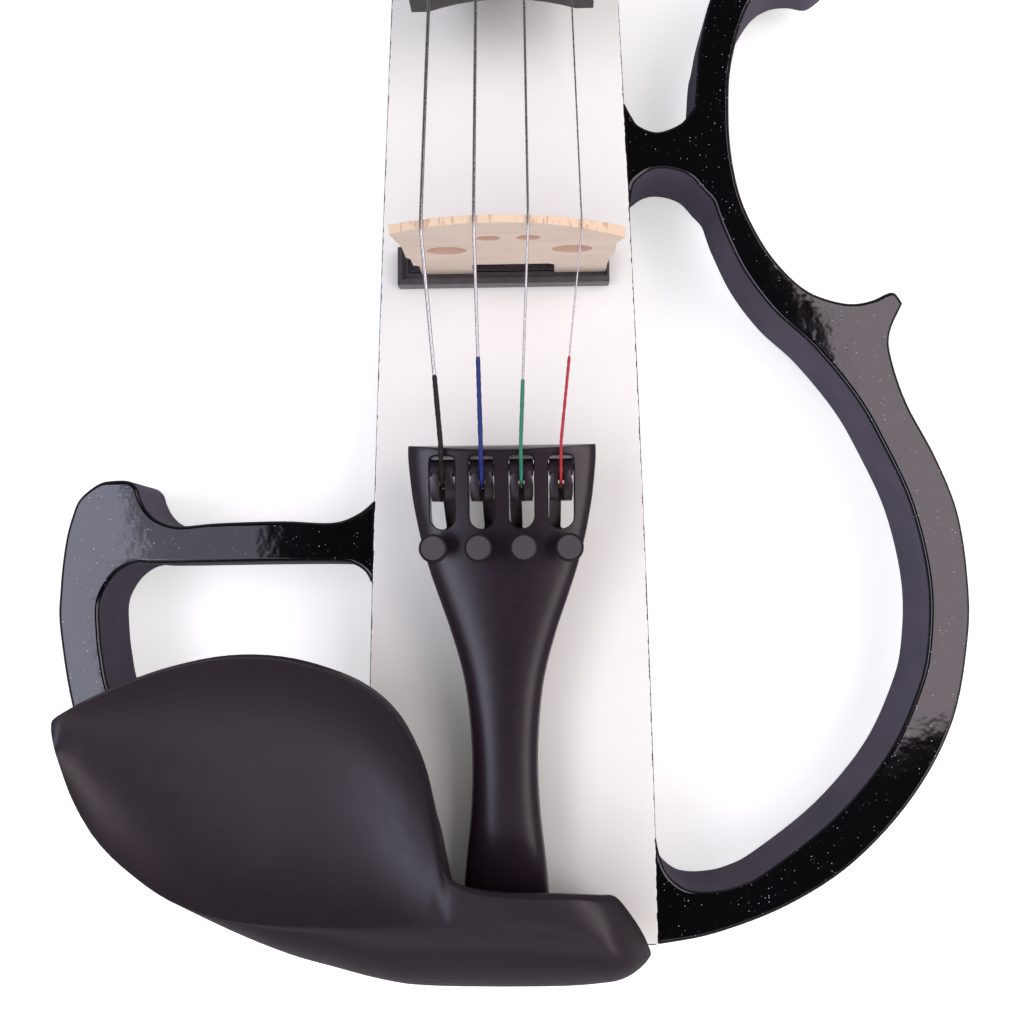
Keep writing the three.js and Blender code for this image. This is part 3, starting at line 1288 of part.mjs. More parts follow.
const tunnelHalf = 11.6;
const tunnelRise = 17.6;
const footPadRise = 1.6;
const chinFootRise = 13.6;
const chinFootInner = 12.2;
const chinFootOuterBass = 31;
const chinFootOuterTreble = 25;
const chinFootBack = 0.5;
const chinFootLength = 8;
const chinFeet = { bass: [-chinFootOuterBass, -chinFootInner], treble: [chinFootInner, chinFootOuterTreble] };
const chinFootBackY = -tailReach + chinFootBack;
const chinFootFrontY = chinFootBackY + chinFootLength;
const clampHalfSpacing = 17.5;
const clampOut = 3.1;
const clampY = -tailReach - clampOut;
const studRadius = 1.4;
const studSink = 3.5;
const studTopZ = bodyDepth + chinUnderShare * chinRise + studSink;

let chinRest = solidFrom(loft(chinSectionShares.map(chinRing)));
for (const [left, right] of Object.values(chinFeet)) {
  chinRest = chinRest.add(solidFrom(block(
    at(left, chinFootBackY, bodyDepth + footPadRise + seatGap),
    at(right, chinFootFrontY, bodyDepth + chinFootRise),
  )));
}
const tunnel = new THREE.Shape();
const tunnelTop = bodyDepth + tunnelRise;
tunnel.moveTo(-tunnelHalf, 0);
tunnel.lineTo(tunnelHalf, 0);
tunnel.lineTo(tunnelHalf, tunnelTop - tunnelHalf / 2);
tunnel.quadraticCurveTo(tunnelHalf, tunnelTop, 0, tunnelTop);
tunnel.quadraticCurveTo(-tunnelHalf, tunnelTop, -tunnelHalf, tunnelTop - tunnelHalf / 2);
const tunnelCut = new THREE.ExtrudeGeometry(tunnel, {
  depth: tailReach, bevelEnabled: false, curveSegments: 6,
});
tunnelCut.rotateX(Math.PI / 2).translate(0, -tailReach / 2, 0);
chinRest = chinRest.subtract(solidFrom(tunnelCut));
for (const side of [-1, 1]) {
  chinRest = chinRest.subtract(solidFrom(bar('z', studRadius + turnGap, 0, studTopZ + turnGap,
    at(side * clampHalfSpacing, clampY, 0), 14)));
}
addPart('chin_rest', geometryFrom(chinRest), 'darkWood');

for (const [label, [left, right]] of Object.entries(chinFeet)) {
  addPart(`chin_rest_cork_${label}`, block(
    at(left, chinFootBackY, bodyDepth + glueLine),
    at(right, chinFootFrontY, bodyDepth + footPadRise),
  ), 'corkPad');
}

// Chin rest clamp: two turning barrels draw the hooked foot up under the tail block

const barrelRadius = 2.6;
const barrelRise = 4;
const barrelLength = 19;
const barrelTop = bodyDepth + barrelRise;
const barrelBottom = barrelTop - barrelLength;
const studInBarrel = 6;
const tommyHoleRadius = 0.9;
const footCork = 1.5;
const footPlate = 2.2;
const footHalf = 22;
const footReach = 11;
const footLip = 2.8;
const footReachY = -tailReach + footReach;
const footLipY = clampY - footLip;
const lowerStudTop = barrelBottom + studInBarrel;
const footTopZ = bodyDepth - tailBlockDepth - footCork - seatGap;

for (const [label, side] of [['bass', -1], ['treble', 1]]) {
  const x = side * clampHalfSpacing;
  addPart(`clamp_stud_${label}`, bar('z', studRadius, barrelTop - studInBarrel, studTopZ, at(x, clampY, 0), 14),
    'brightMetal');
  let barrel = solidFrom(turned([
    [0, barrelBottom],
    [barrelRadius - sink, barrelBottom],
    [barrelRadius, barrelBottom + sink],
    [barrelRadius, barrelTop - sink],
    [barrelRadius - sink, barrelTop],
    [0, barrelTop],
  ], 'z', at(x, clampY, 0), 16));
  barrel = barrel.subtract(solidFrom(bar('z', studRadius + turnGap, barrelBottom - overrun, barrelTop + overrun,
    at(x, clampY, 0), 14)));
  for (const axis of ['x', 'y']) {
    const middle = at(x, clampY, (barrelTop + barrelBottom) / 2);
    const reach = barrelRadius + overrun;
    barrel = barrel.subtract(solidFrom(bar(axis, tommyHoleRadius, -reach, reach, middle, 8)));
  }
  addPart(`clamp_barrel_${label}`, geometryFrom(barrel), 'brightMetal');
}

let clampFoot = solidFrom(block(
  at(-footHalf, footLipY, footTopZ - footPlate), at(footHalf, footReachY, footTopZ),
));
for (const side of [-1, 1]) {
  clampFoot = clampFoot.add(solidFrom(bar('z', studRadius, footTopZ - sink, lowerStudTop,
    at(side * clampHalfSpacing, clampY, 0), 14)));
}
addPart('clamp_foot', geometryFrom(clampFoot), 'brightMetal');
addPart('clamp_foot_cork', block(
  at(-footHalf, -tailReach + seatGap, footTopZ + glueLine),
  at(footHalf, footReachY, footTopZ + footCork),
), 'corkPad');

// Electronics: battery and cover in the back, control plate with knobs, switch and jacks in the bass side

const batteryBottom = coverRecess + coverThickness + seatGap + seatGap;
const terminalHeight = 1;
const terminalRadius = 3;
let battery = solidFrom(block(
  at(batteryMiddle.x - batterySize.width / 2, batteryFrontY, batteryBottom),
  at(batteryMiddle.x + batterySize.width / 2, batteryEndY - terminalHeight, batteryBottom + batterySize.height),
));
for (const side of [-1, 1]) {
  battery = battery.add(solidFrom(bar('y', terminalRadius, batteryFrontY, batteryEndY,
    at(batteryMiddle.x + side * batterySize.width / 4, 0, batteryBottom + batterySize.height / 2), 12)));
}
addPart('battery', geometryFrom(battery), 'batteryCase');

const clipHalfX = 12;
const clipHalfZ = 4;
const clipThickness = 3;
addPart('battery_clip', block(
  at(batteryMiddle.x - clipHalfX, batteryEndY + seatGap,
    batteryBottom + batterySize.height / 2 - clipHalfZ),
  at(batteryMiddle.x + clipHalfX, batteryEndY + seatGap + clipThickness,
    batteryBottom + batterySize.height / 2 + clipHalfZ),
), 'blackPlastic');

const coverLid = solidFrom(block(
  at(batteryMiddle.x - coverHalfX, batteryMiddle.y - coverHalfY, coverRecess),
  at(batteryMiddle.x + coverHalfX, batteryMiddle.y + coverHalfY, coverRecess + coverThickness),
)).add(solidFrom(bar('x', coverPinRadius, -coverHalfX - coverPinLength, coverHalfX + coverPinLength,
  coverPinSpot, 12)));
addPart('battery_cover', geometryFrom(coverLid), 'blackPlastic');

const knobPlaces = { volume_knob: 22, tone_knob: 7.5 };
const knobRadius = 5.6;
const knobHeight = 8;
const knobShaftRadius = 3;
const switchPlace = -4.5;
const switchSlotHalf = 3.4;
const switchSlotHalfHeight = 1.5;
const switchTravel = 2.6;
const headphonePlace = -12.5;
const outputPlace = -22;
const jackSizes = {
  headphone_jack: { place: headphonePlace, bore: 1.8, bush: 3, flange: 3.8, length: 12 },
  output_jack: { place: outputPlace, bore: 3.3, bush: 4.6, flange: 5.4, length: 15 },
};
const flangeHeight = 1.2;
const boardThickness = 1.6;
const boardDrop = 8;

const sideBar = (radius, from, to, place, sides) => bar('y', radius, from, to, at(place, 0, 0), sides);

let plate = solidFrom(block(
  at(-plateLength / 2, -plateThickness, -plateHeight / 2),
  at(plateLength / 2, 0, plateHeight / 2),
));
for (const place of Object.values(knobPlaces)) {
  plate = plate.subtract(solidFrom(sideBar(knobShaftRadius + turnGap, -pocketDepth, overrun, place, 14)));
}
for (const jack of Object.values(jackSizes)) {
  plate = plate.subtract(solidFrom(sideBar(jack.bush + turnGap, -pocketDepth, overrun, jack.place, 16)));
}
plate = plate.subtract(solidFrom(block(
  at(switchPlace - switchSlotHalf, -pocketDepth, -switchSlotHalfHeight),
  at(switchPlace + switchSlotHalf, overrun, switchSlotHalfHeight),
)));
addPart('control_plate', ontoSide(geometryFrom(plate)), 'blackPlastic');

for (const [name, place] of Object.entries(knobPlaces)) {
  const rimSteps = 14;
  const grip = new THREE.Shape(Array.from({ length: rimSteps * 2 }, (unused, step) => {
    const angle = (Math.PI * step) / rimSteps;
    const radius = knobRadius - (step % 2) * knurlDepth;
    return new THREE.Vector2(radius * Math.cos(angle), radius * Math.sin(angle));
  }));
  const head = new THREE.ExtrudeGeometry(grip, {
    depth: knobHeight - 2 * sink, bevelThickness: sink, bevelSize: sink, bevelOffset: -sink, bevelSegments: 1,
  });
  head.rotateX(-Math.PI / 2).translate(place, seatGap + sink, 0);
  const shaft = sideBar(knobShaftRadius, -boardDrop + seatGap, knobHeight / 2, place, 14);
  addPart(name, ontoSide(geometryFrom(solidFrom(head).add(solidFrom(shaft)))), 'blackPlastic');
}

const sliderHalf = 1.6;
const sliderOut = 2.2;
const sliderFlangeHalf = 2.9;
let slider = solidFrom(block(
  at(switchPlace - switchTravel / 2 - sliderHalf / 1.5, -plateThickness - seatGap - sink,
    -switchSlotHalfHeight + turnGap),
  at(switchPlace - switchTravel / 2 + sliderHalf / 1.5, sliderOut, switchSlotHalfHeight - turnGap),
));
slider = slider.add(solidFrom(block(
  at(switchPlace - switchTravel / 2 - sliderFlangeHalf, -plateThickness - seatGap - flangeHeight,
    -switchSlotHalfHeight - sink),
  at(switchPlace - switchTravel / 2 + sliderFlangeHalf, -plateThickness - seatGap, switchSlotHalfHeight + sink),
)));
addPart('power_switch', ontoSide(geometryFrom(slider)), 'blackPlastic');

for (const [name, jack] of Object.entries(jackSizes)) {
  let body = solidFrom(turned([
    [0, -jack.length],
    [jack.bush, -jack.length],
    [jack.bush, seatGap],
    [jack.flange, seatGap],
    [jack.flange, seatGap + flangeHeight - sink / 2],
    [jack.flange - sink / 2, seatGap + flangeHeight],
    [0, seatGap + flangeHeight],
  ], 'y', at(jack.place, 0, 0), 16));
  body = body.subtract(solidFrom(sideBar(jack.bore, -jack.length + flangeHeight, overrun * 2, jack.place, 14)));
  addPart(name, ontoSide(geometryFrom(body)), 'brightMetal');
}

// The preamp board stands behind the knobs and the switch, with its two potentiometers towards the plate.
const potHalf = 4.6;
const potHeight = 5;
const boardEnd = plateLength / 2 - pocketLip - seatGap;
const boardStart = (headphonePlace + switchPlace) / 2;
const boardHalfHeight = plateHeight / 2 - pocketLip / 2 - seatGap;
const boardTop = -boardDrop - potHeight;
let board = solidFrom(block(
  at(boardStart, boardTop - boardThickness, -boardHalfHeight),
  at(boardEnd, boardTop, boardHalfHeight),
));
for (const place of Object.values(knobPlaces)) {
  board = board.add(solidFrom(block(
    at(place - potHalf, boardTop - sink, -potHalf),
    at(place + potHalf, -boardDrop, potHalf),
  )));
}
board = board.add(solidFrom(block(
  at(switchPlace - switchSlotHalf, boardTop - sink, -switchSlotHalfHeight - sink),
  at(switchPlace + switchSlotHalf, -plateThickness - 2 * seatGap - flangeHeight, switchSlotHalfHeight + sink),
)));
addPart('preamp_board', ontoSide(geometryFrom(board)), 'boardGreen');

export default violin;
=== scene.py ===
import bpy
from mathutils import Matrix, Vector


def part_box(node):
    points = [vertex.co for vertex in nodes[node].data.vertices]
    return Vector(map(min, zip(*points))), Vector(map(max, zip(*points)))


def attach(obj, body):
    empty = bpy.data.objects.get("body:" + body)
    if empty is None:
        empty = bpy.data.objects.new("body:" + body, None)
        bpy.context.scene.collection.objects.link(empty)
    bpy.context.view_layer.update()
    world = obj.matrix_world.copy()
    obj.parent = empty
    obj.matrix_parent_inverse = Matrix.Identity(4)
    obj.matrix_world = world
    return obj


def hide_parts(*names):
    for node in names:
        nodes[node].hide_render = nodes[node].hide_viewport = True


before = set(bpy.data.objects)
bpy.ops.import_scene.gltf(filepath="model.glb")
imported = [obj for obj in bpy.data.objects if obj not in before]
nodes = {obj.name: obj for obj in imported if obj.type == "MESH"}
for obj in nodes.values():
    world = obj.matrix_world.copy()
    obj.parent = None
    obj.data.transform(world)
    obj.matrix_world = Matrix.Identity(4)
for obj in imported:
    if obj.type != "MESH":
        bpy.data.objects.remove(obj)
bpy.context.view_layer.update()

import math
import random

import bmesh
import bpy
from mathutils import Matrix, Vector
from mathutils.geometry import interpolate_bezier

scene = bpy.context.scene
MM = 0.001

# The camera stands a quarter of a metre above the strings, over the tail end.
# It looks almost straight down, so the neck and the scroll lie outside the picture.
CAMERA_PLACE = Vector((7.5256, -78.8303, 263.9623)) * MM
CAMERA_RIGHT = Vector((0.9995634, -0.0076029, -0.0285517))
CAMERA_DOWN = Vector((-0.0100793, -0.9961031, -0.0876188))
CAMERA_AHEAD = Vector((-0.0277743, 0.0878683, -0.9957448))
CAMERA_LENS_MM = 35.156

camera_data = bpy.data.cameras.new("camera")
camera_data.lens = CAMERA_LENS_MM
camera_data.sensor_width = 36
camera_data.clip_start = 0.01
camera = bpy.data.objects.new("camera", camera_data)
camera_turn = Matrix((CAMERA_RIGHT, -CAMERA_DOWN, -CAMERA_AHEAD)).transposed()
camera.matrix_world = Matrix.Translation(CAMERA_PLACE) @ camera_turn.to_4x4()
scene.collection.objects.link(camera)
scene.camera = camera

# The room: a pale floor, a large soft lamp on each side and a plain sky.
# The sky is dark straight above, which keeps the black lacquer black, and white to the camera.
FLOOR_HALF = 3.0
FLOOR_GLOW = 0.45


def add_node(tree, kind, inputs=None, **settings):
    made = tree.nodes.new(kind)
    for name, value in settings.items():
        setattr(made, name, value)
    for socket, value in (inputs or {}).items():
        if isinstance(value, bpy.types.NodeSocket):
            tree.links.new(value, made.inputs[socket])
        else:
            made.inputs[socket].default_value = value
    return made


def mix_colours(tree, share, first, second):
    mixed = add_node(tree, "ShaderNodeMix", {0: share, 6: first, 7: second}, data_type="RGBA")
    return mixed.outputs[2]


def ramp(tree, value, low, high, out_low=0.0, out_high=1.0):
    made = add_node(tree, "ShaderNodeMapRange", {0: value, 1: low, 2: high, 3: out_low, 4: out_high})
    return made.outputs[0]


def reckon(tree, operation, first, second=0.0):
    return add_node(tree, "ShaderNodeMath", {0: first, 1: second}, operation=operation).outputs[0]


def grey(level):
    return (level, level, level, 1.0)


floor_mesh = bpy.data.meshes.new("floor")
floor_mesh.from_pydata(
    [(x * FLOOR_HALF, y * FLOOR_HALF, 0) for x, y in ((-1, -1), (1, -1), (1, 1), (-1, 1))], [], [(0, 1, 2, 3)]
)
floor = bpy.data.objects.new("floor", floor_mesh)
scene.collection.objects.link(floor)
floor_finish = bpy.data.materials.new("pale_floor")
floor_finish.use_nodes = True
floor_tree = floor_finish.node_tree
floor_shader = floor_tree.nodes["Principled BSDF"]
floor_shader.inputs["Roughness"].default_value = 0.9
floor_shader.inputs["Specular IOR Level"].default_value = 0.0
floor_shader.inputs["Emission Color"].default_value = grey(1.0)
floor_path = add_node(floor_tree, "ShaderNodeLightPath").outputs
floor_seen = reckon(floor_tree, "MAXIMUM", floor_path["Is Camera Ray"], floor_path["Is Transmission Ray"])
floor_tree.links.new(
    mix_colours(floor_tree, floor_path["Is Glossy Ray"], grey(0.9), grey(0.3)),
    floor_shader.inputs["Base Color"],
)
floor_glow = reckon(floor_tree, "MULTIPLY", floor_seen, FLOOR_GLOW)
floor_tree.links.new(floor_glow, floor_shader.inputs["Emission Strength"])
floor_mesh.materials.append(floor_finish)


def add_lamp(name, place, width, height, colour, radiance):
    lamp_data = bpy.data.lights.new(name, "AREA")
    lamp_data.shape = "RECTANGLE"
    lamp_data.size = width
    lamp_data.size_y = height
    lamp_data.color = colour
    lamp_data.energy = radiance * width * height * math.pi
    lamp = bpy.data.objects.new(name, lamp_data)
    lamp.location = place
    scene.collection.objects.link(lamp)


add_lamp("bass_side_lamp", (-0.725, -0.22, 1.03), 0.45, 0.95, (0.80, 0.82, 1.0), 4.4)
add_lamp("bass_inner_lamp", (-0.418, -0.22, 1.03), 0.165, 0.95, (0.80, 0.80, 1.0), 1.9)
add_lamp("treble_side_lamp", (1.2, -0.25, 1.03), 0.9, 1.3, (1.0, 0.92, 0.92), 2.7)
add_lamp("treble_panel", (0.56, 0.18, 1.03), 0.4, 0.84, (1.0, 0.86, 0.95), 3.3)
add_lamp("tail_side_lamp", (0.1, -1.15, 1.15), 1.7, 0.8, (1.0, 0.97, 0.95), 0.8)

sky = bpy.data.worlds.new("sky")
sky.use_nodes = True
scene.world = sky
sky_tree = sky.node_tree
sky_background = sky_tree.nodes["Background"]
sky_spot = add_node(sky_tree, "ShaderNodeTexCoord").outputs["Generated"]
sky_way = add_node(sky_tree, "ShaderNodeSeparateXYZ", {0: sky_spot}).outputs
sky_mirrored = ramp(sky_tree, sky_way[2], 0.1, 0.8, 0.3, 0.02)
sky_scattered = ramp(sky_tree, sky_way[1], -1.0, 1.0, 0.88, 0.26)
sky_path = add_node(sky_tree, "ShaderNodeLightPath").outputs
sky_soft = mix_colours(sky_tree, sky_path["Is Glossy Ray"], sky_scattered, sky_mirrored)
sky_colour = mix_colours(sky_tree, sky_path["Is Camera Ray"], sky_soft, grey(1.0))
sky_tree.links.new(sky_colour, sky_background.inputs["Color"])
scene.view_settings.view_transform = "Standard"

# The centre body is a straight plank, painted off-white on the strings' side and black round flanks and back.
# The two paints meet in a thin uneven line at the edge. It carries everything else.
BODY_TOP = 26 * MM
BODY_EDGE = 0.45 * MM
BACK_CORNER = 5 * MM
BODY_HALF_WIDTH = 33.8 * MM
BODY_NARROWING = 10.3 * MM
TAIL_REACH = 158 * MM
NECK_END = 190 * MM
NECK_END_ROUND = 9 * MM
BLOCK_LIFT = 7 * MM
STEP_START = -138 * MM
STEP_LENGTH = 16 * MM
BATTERY_SPOT = (5 * MM, 112 * MM)
BAY_HALF = (14.25 * MM, 28.25 * MM)
BAY_DEPTH = 21.2 * MM
COVER_LEDGE = 3.4 * MM
COVER_DEPTH = 2.7 * MM
HINGE_PIN = (0.7 * MM, 18.9 * MM)
PLATE_Y = 121 * MM
PLATE_Z = 13 * MM
PLATE_HALF = 31 * MM


def new_finish(name, roughness, **sockets):
    made = bpy.data.materials.new(name)
    made.use_nodes = True
    shader = made.node_tree.nodes["Principled BSDF"]
    shader.inputs["Roughness"].default_value = roughness
    for socket, value in sockets.items():
        shader.inputs[socket.replace("_", " ")].default_value = value
    return made, made.node_tree, shader


def object_noise(tree, scale, detail=2.0, stretch=None):
    spot = add_node(tree, "ShaderNodeTexCoord").outputs["Object"]
    if stretch:
        spot = add_node(tree, "ShaderNodeMapping", {0: spot, 3: stretch}).outputs[0]
    return add_node(tree, "ShaderNodeTexNoise", {"Vector": spot, "Scale": scale, "Detail": detail}).outputs[0]


def add_bump(tree, shader, height, distance, strength=1.0):
    bump = add_node(tree, "ShaderNodeBump", {"Height": height, "Distance": distance, "Strength": strength})
    tree.links.new(bump.outputs[0], shader.inputs["Normal"])


def cover(target, finish):
    target.data.materials.clear()
    target.data.materials.append(finish)


def soften(target, width, segments=2):
    weld = target.modifiers.new("joined_corners", "WELD")
    weld.merge_threshold = 0.002 * MM
    joined = target.modifiers.new("joined_faces", "DECIMATE")
    joined.decimate_type = "DISSOLVE"
    joined.angle_limit = math.radians(0.6)
    bevel = target.modifiers.new("softened_edges", "BEVEL")
    bevel.width = width
    bevel.segments = segments
    bevel.limit_method = "ANGLE"
    bevel.angle_limit = math.radians(30)
    bevel.use_clamp_overlap = True
    target.modifiers.new("even_shading", "WEIGHTED_NORMAL")


def body_half(y):
    share = min(max((y + TAIL_REACH) / (TAIL_REACH + NECK_END), 0), 1)
    return BODY_HALF_WIDTH - BODY_NARROWING * share ** 1.55


def piece_from(name, mesh, finish):
    made = bpy.data.objects.new(name, mesh)
    scene.collection.objects.link(made)
    cover(made, finish)
    return made


def settle(made):
    """Turns an object's modifiers into its mesh."""
    graph = bpy.context.evaluated_depsgraph_get()
    mesh = bpy.data.meshes.new_from_object(made.evaluated_get(graph))
    made.modifiers.clear()
    made.data = mesh
    return made


def shade(made, angle=35):
    made.data.polygons.foreach_set("use_smooth", [True] * len(made.data.polygons))
    made.data.set_sharp_from_angle(angle=math.radians(angle))
    made.modifiers.new("even_shading", "WEIGHTED_NORMAL").keep_sharp = True


def closed_mesh(name, rings):
    """A closed skin over rings of equal count."""
    form = bmesh.new()
    rows = [[form.verts.new(point) for point in ring] for ring in rings]
    for near, far in zip(rows, rows[1:]):
        for place in range(len(near)):
            after = (place + 1) % len(near)
            form.faces.new((near[place], near[after], far[after], far[place]))
    form.faces.new(list(reversed(rows[0])))
    form.faces.new(rows[-1])
    bmesh.ops.recalc_face_normals(form, faces=form.faces)
    mesh = bpy.data.meshes.new(name)
    form.to_mesh(mesh)
    form.free()
    return mesh


def cut_by(made, cutter_mesh, operation="DIFFERENCE"):
    cutter = bpy.data.objects.new("cutter", cutter_mesh)
    scene.collection.objects.link(cutter)
    cut = made.modifiers.new("cut", "BOOLEAN")
    cut.object = cutter
    cut.operation = operation
    cut.solver = "MANIFOLD"
    settle(made)
    bpy.data.objects.remove(cutter)
    return made


def bar_mesh(axis, radius, low, high, spot, sides=24):
    rings = []
    for along in (low, high):
        ring = []
        for side in range(sides):
            angle = 2 * math.pi * side / sides
            a, b = radius * math.cos(angle), radius * math.sin(angle)
            ring.append({"x": (along, a, b), "y": (a, along, b), "z": (a, b, along)}[axis])
        rings.append([tuple(Vector(point) + Vector(spot)) for point in ring])
    return closed_mesh("bar", rings)


def box_mesh(low, high):
    corners = [(low[0], low[1]), (high[0], low[1]), (high[0], high[1]), (low[0], high[1])]
    return closed_mesh("block", [[(x, y, z) for x, y in corners] for z in (low[2], high[2])])


def body_ring(y, inset=0.0, end_share=1.0):
    half_width = body_half(y) - NECK_END_ROUND * (1 - end_share) - inset
    back = BLOCK_LIFT * min(max((STEP_START + STEP_LENGTH - y) / STEP_LENGTH, 0), 1) + inset
    top = BODY_TOP - inset
    ring = []
    corners = (
        (-1, top - BODY_EDGE, BODY_EDGE, 180), (1, top - BODY_EDGE, BODY_EDGE, 90),
        (1, back + BACK_CORNER, BACK_CORNER, 0), (-1, back + BACK_CORNER, BACK_CORNER, -90),
    )
    for side, level, radius, start in corners:
        for step in range(7):
            angle = math.radians(start - 15 * step)
            x = side * (half_width - radius) + radius * math.cos(angle)
            ring.append((x, y, level + radius * math.sin(angle)))
    return ring


def side_box(low, high):
    """A box made in the control plate's own place: along the side, out of it and up."""
    mesh = box_mesh(low, high)
    lean = math.atan2(body_half(PLATE_Y - PLATE_HALF) - body_half(PLATE_Y + PLATE_HALF), 2 * PLATE_HALF)
    turn = Matrix.Rotation(math.pi / 2 - lean, 4, "Z")
    mesh.transform(Matrix.Translation((-body_half(PLATE_Y), PLATE_Y, PLATE_Z)) @ turn)
    return mesh


paint, tree, shader = new_finish("white_and_black_paint", 0.38, Coat_Weight=0.12, Coat_Roughness=0.2)
place = add_node(tree, "ShaderNodeTexCoord").outputs["Object"]
height = add_node(tree, "ShaderNodeSeparateXYZ", {0: place}).outputs[2]
wander = ramp(tree, object_noise(tree, 600, 4), 0.38, 0.62, -0.035 * MM, 0.09 * MM)
lifted = reckon(tree, "ADD", height, wander)
is_top = ramp(tree, lifted, BODY_TOP - 0.06 * MM, BODY_TOP - 0.04 * MM)
tone = ramp(tree, object_noise(tree, 35, 3), 0.3, 0.7)
whites = mix_colours(tree, tone, (0.85, 0.835, 0.805, 1), (0.88, 0.865, 0.84, 1))
tree.links.new(mix_colours(tree, is_top, (0.006, 0.006, 0.008, 1), whites), shader.inputs["Base Color"])
tree.links.new(ramp(tree, is_top, 0, 1, 0.14, 0.4), shader.inputs["Roughness"])
add_bump(tree, shader, object_noise(tree, 300, 2), 0.01 * MM, 0.2)

body_rings = [body_ring(-TAIL_REACH, BODY_EDGE), body_ring(-TAIL_REACH + BODY_EDGE)]
body_rings += [body_ring(y * MM) for y in (*range(-150, -121, 4), *range(-112, 179, 10))]
for share in (0, 0.2, 0.38, 0.55, 0.7, 0.82, 0.91, 0.97, 1):
    end_share = math.sqrt(1 - 0.999 * share * share)
    body_rings.append(body_ring(NECK_END - NECK_END_ROUND * (1 - share), end_share=end_share))
plank = piece_from("centre_body_painted", closed_mesh("centre_body", body_rings), paint)
(bay_x, bay_y), (half_x, half_y) = BATTERY_SPOT, BAY_HALF
for ledge, depth in ((0, BAY_DEPTH), (COVER_LEDGE, COVER_DEPTH)):
    wide, long = half_x + ledge, half_y + ledge
    cut_by(plank, box_mesh((bay_x - wide, bay_y - long, -MM), (bay_x + wide, bay_y + long, depth)))
pin_radius, pin_half = HINGE_PIN
cut_by(plank, bar_mesh("x", pin_radius, -pin_half, pin_half, (bay_x, bay_y - 30.45 * MM, 1.2 * MM)))
cut_by(plank, side_box((-27.5 * MM, -19 * MM, -5.75 * MM), (27.5 * MM, 2 * MM, 5.75 * MM)))
cut_by(plank, side_box((-31.3 * MM, -2.1 * MM, -7.8 * MM), (31.3 * MM, 2 * MM, 7.8 * MM)))
cut_by(plank, bar_mesh("y", 4.1 * MM, -TAIL_REACH - MM, -TAIL_REACH + 18 * MM, (0, 0, 16.5 * MM)))
shade(plank)
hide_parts("centre_body")
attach(plank, "violin")

# Each wing is cut from flat board, its edges rounded over, then sprayed gloss black with fine silver flakes.
# The sawn wall faces inside the loops stay duller than the top; their lighter blue-grey colour is a painted
# reflection.
# Outline points are shares of the half span and of the tail reach.
HALF_SPAN = 108 * MM
WING_DEPTH = 18.5 * MM
WING_ROUND = 1.0 * MM
GLUE_LINE = 0.12 * MM

LOWER_BOUT_OUTER = [
    (0.311, -1), (0.434, -0.984), (0.59, -0.944), (0.734, -0.882), (0.866, -0.787), (0.955, -0.679),
]
LOWER_BOUT_INNER = [
    (0.88, -0.635), (0.811, -0.728), (0.694, -0.819), (0.55, -0.894), (0.485, -0.916), (0.436, -0.923),
    (0.392, -0.923), (0.363, -0.916), (0.335, -0.898), (0.319, -0.872), (0.309, -0.835),
]
TREBLE_FLANK = [
    (0.995, -0.557), (1, -0.47), (0.985, -0.374), (0.943, -0.29), (0.885, -0.207), (0.856, -0.139),
    (0.854, -0.098), (0.885, -0.052),
]
WAIST = [
    (0.863, -0.034), (0.818, -0.046), (0.772, -0.051), (0.721, -0.044), (0.671, -0.028), (0.622, 0.004),
    (0.576, 0.05), (0.534, 0.116), (0.514, 0.19), (0.511, 0.264), (0.519, 0.334), (0.55, 0.411),
    (0.597, 0.466), (0.643, 0.488), (0.69, 0.492), (0.735, 0.487), (0.771, 0.503),
]
UPPER_BOUT_OUTER = [
    (0.755, 0.54), (0.748, 0.59), (0.757, 0.66), (0.768, 0.74), (0.766, 0.83), (0.737, 0.93), (0.67, 1.02),
    (0.57, 1.09), (0.44, 1.14), (0.32, 1.165), (0.12, 1.17),
]
TREBLE_LOOP = [
    (0.283, 0.112), (0.291, 0.143), (0.31, 0.157), (0.334, 0.166), (0.359, 0.168), (0.391, 0.164),
    (0.42, 0.154), (0.446, 0.133), (0.468, 0.115), (0.479, 0.092), (0.494, 0.063), (0.535, 0.001),
    (0.599, -0.061), (0.682, -0.117), (0.768, -0.194), (0.823, -0.265), (0.881, -0.361), (0.912, -0.473),
    (0.906, -0.568),
]
UPPER_LOOP = [
    (0.268, 0.284), (0.29, 0.253), (0.307, 0.238), (0.348, 0.228), (0.398, 0.24), (0.421, 0.258),
    (0.431, 0.268), (0.435, 0.29), (0.443, 0.353), (0.451, 0.378), (0.473, 0.44), (0.52, 0.505),
    (0.585, 0.548), (0.638, 0.585), (0.66, 0.65), (0.674, 0.74), (0.672, 0.825), (0.645, 0.91),
    (0.585, 0.985), (0.5, 1.04), (0.4, 1.075), (0.3, 1.09), (0.225, 1.08),
]
BASS_TOP = [
    (0.999, -0.543), (1.002, -0.475), (0.994, -0.408), (0.98, -0.365), (0.963, -0.338), (0.923, -0.316),
    (0.89, -0.311), (0.854, -0.312), (0.834, -0.322), (0.825, -0.339), (0.809, -0.358), (0.783, -0.373),
    (0.736, -0.382), (0.65, -0.378), (0.506, -0.376), (0.393, -0.379), (0.336, -0.366), (0.301, -0.347),
]
BASS_LOOP = [
    (0.306, -0.47), (0.318, -0.455), (0.341, -0.444), (0.376, -0.439), (0.506, -0.438), (0.78, -0.439),
    (0.832, -0.438), (0.872, -0.452), (0.899, -0.476), (0.911, -0.501), (0.909, -0.536), (0.901, -0.578),
]


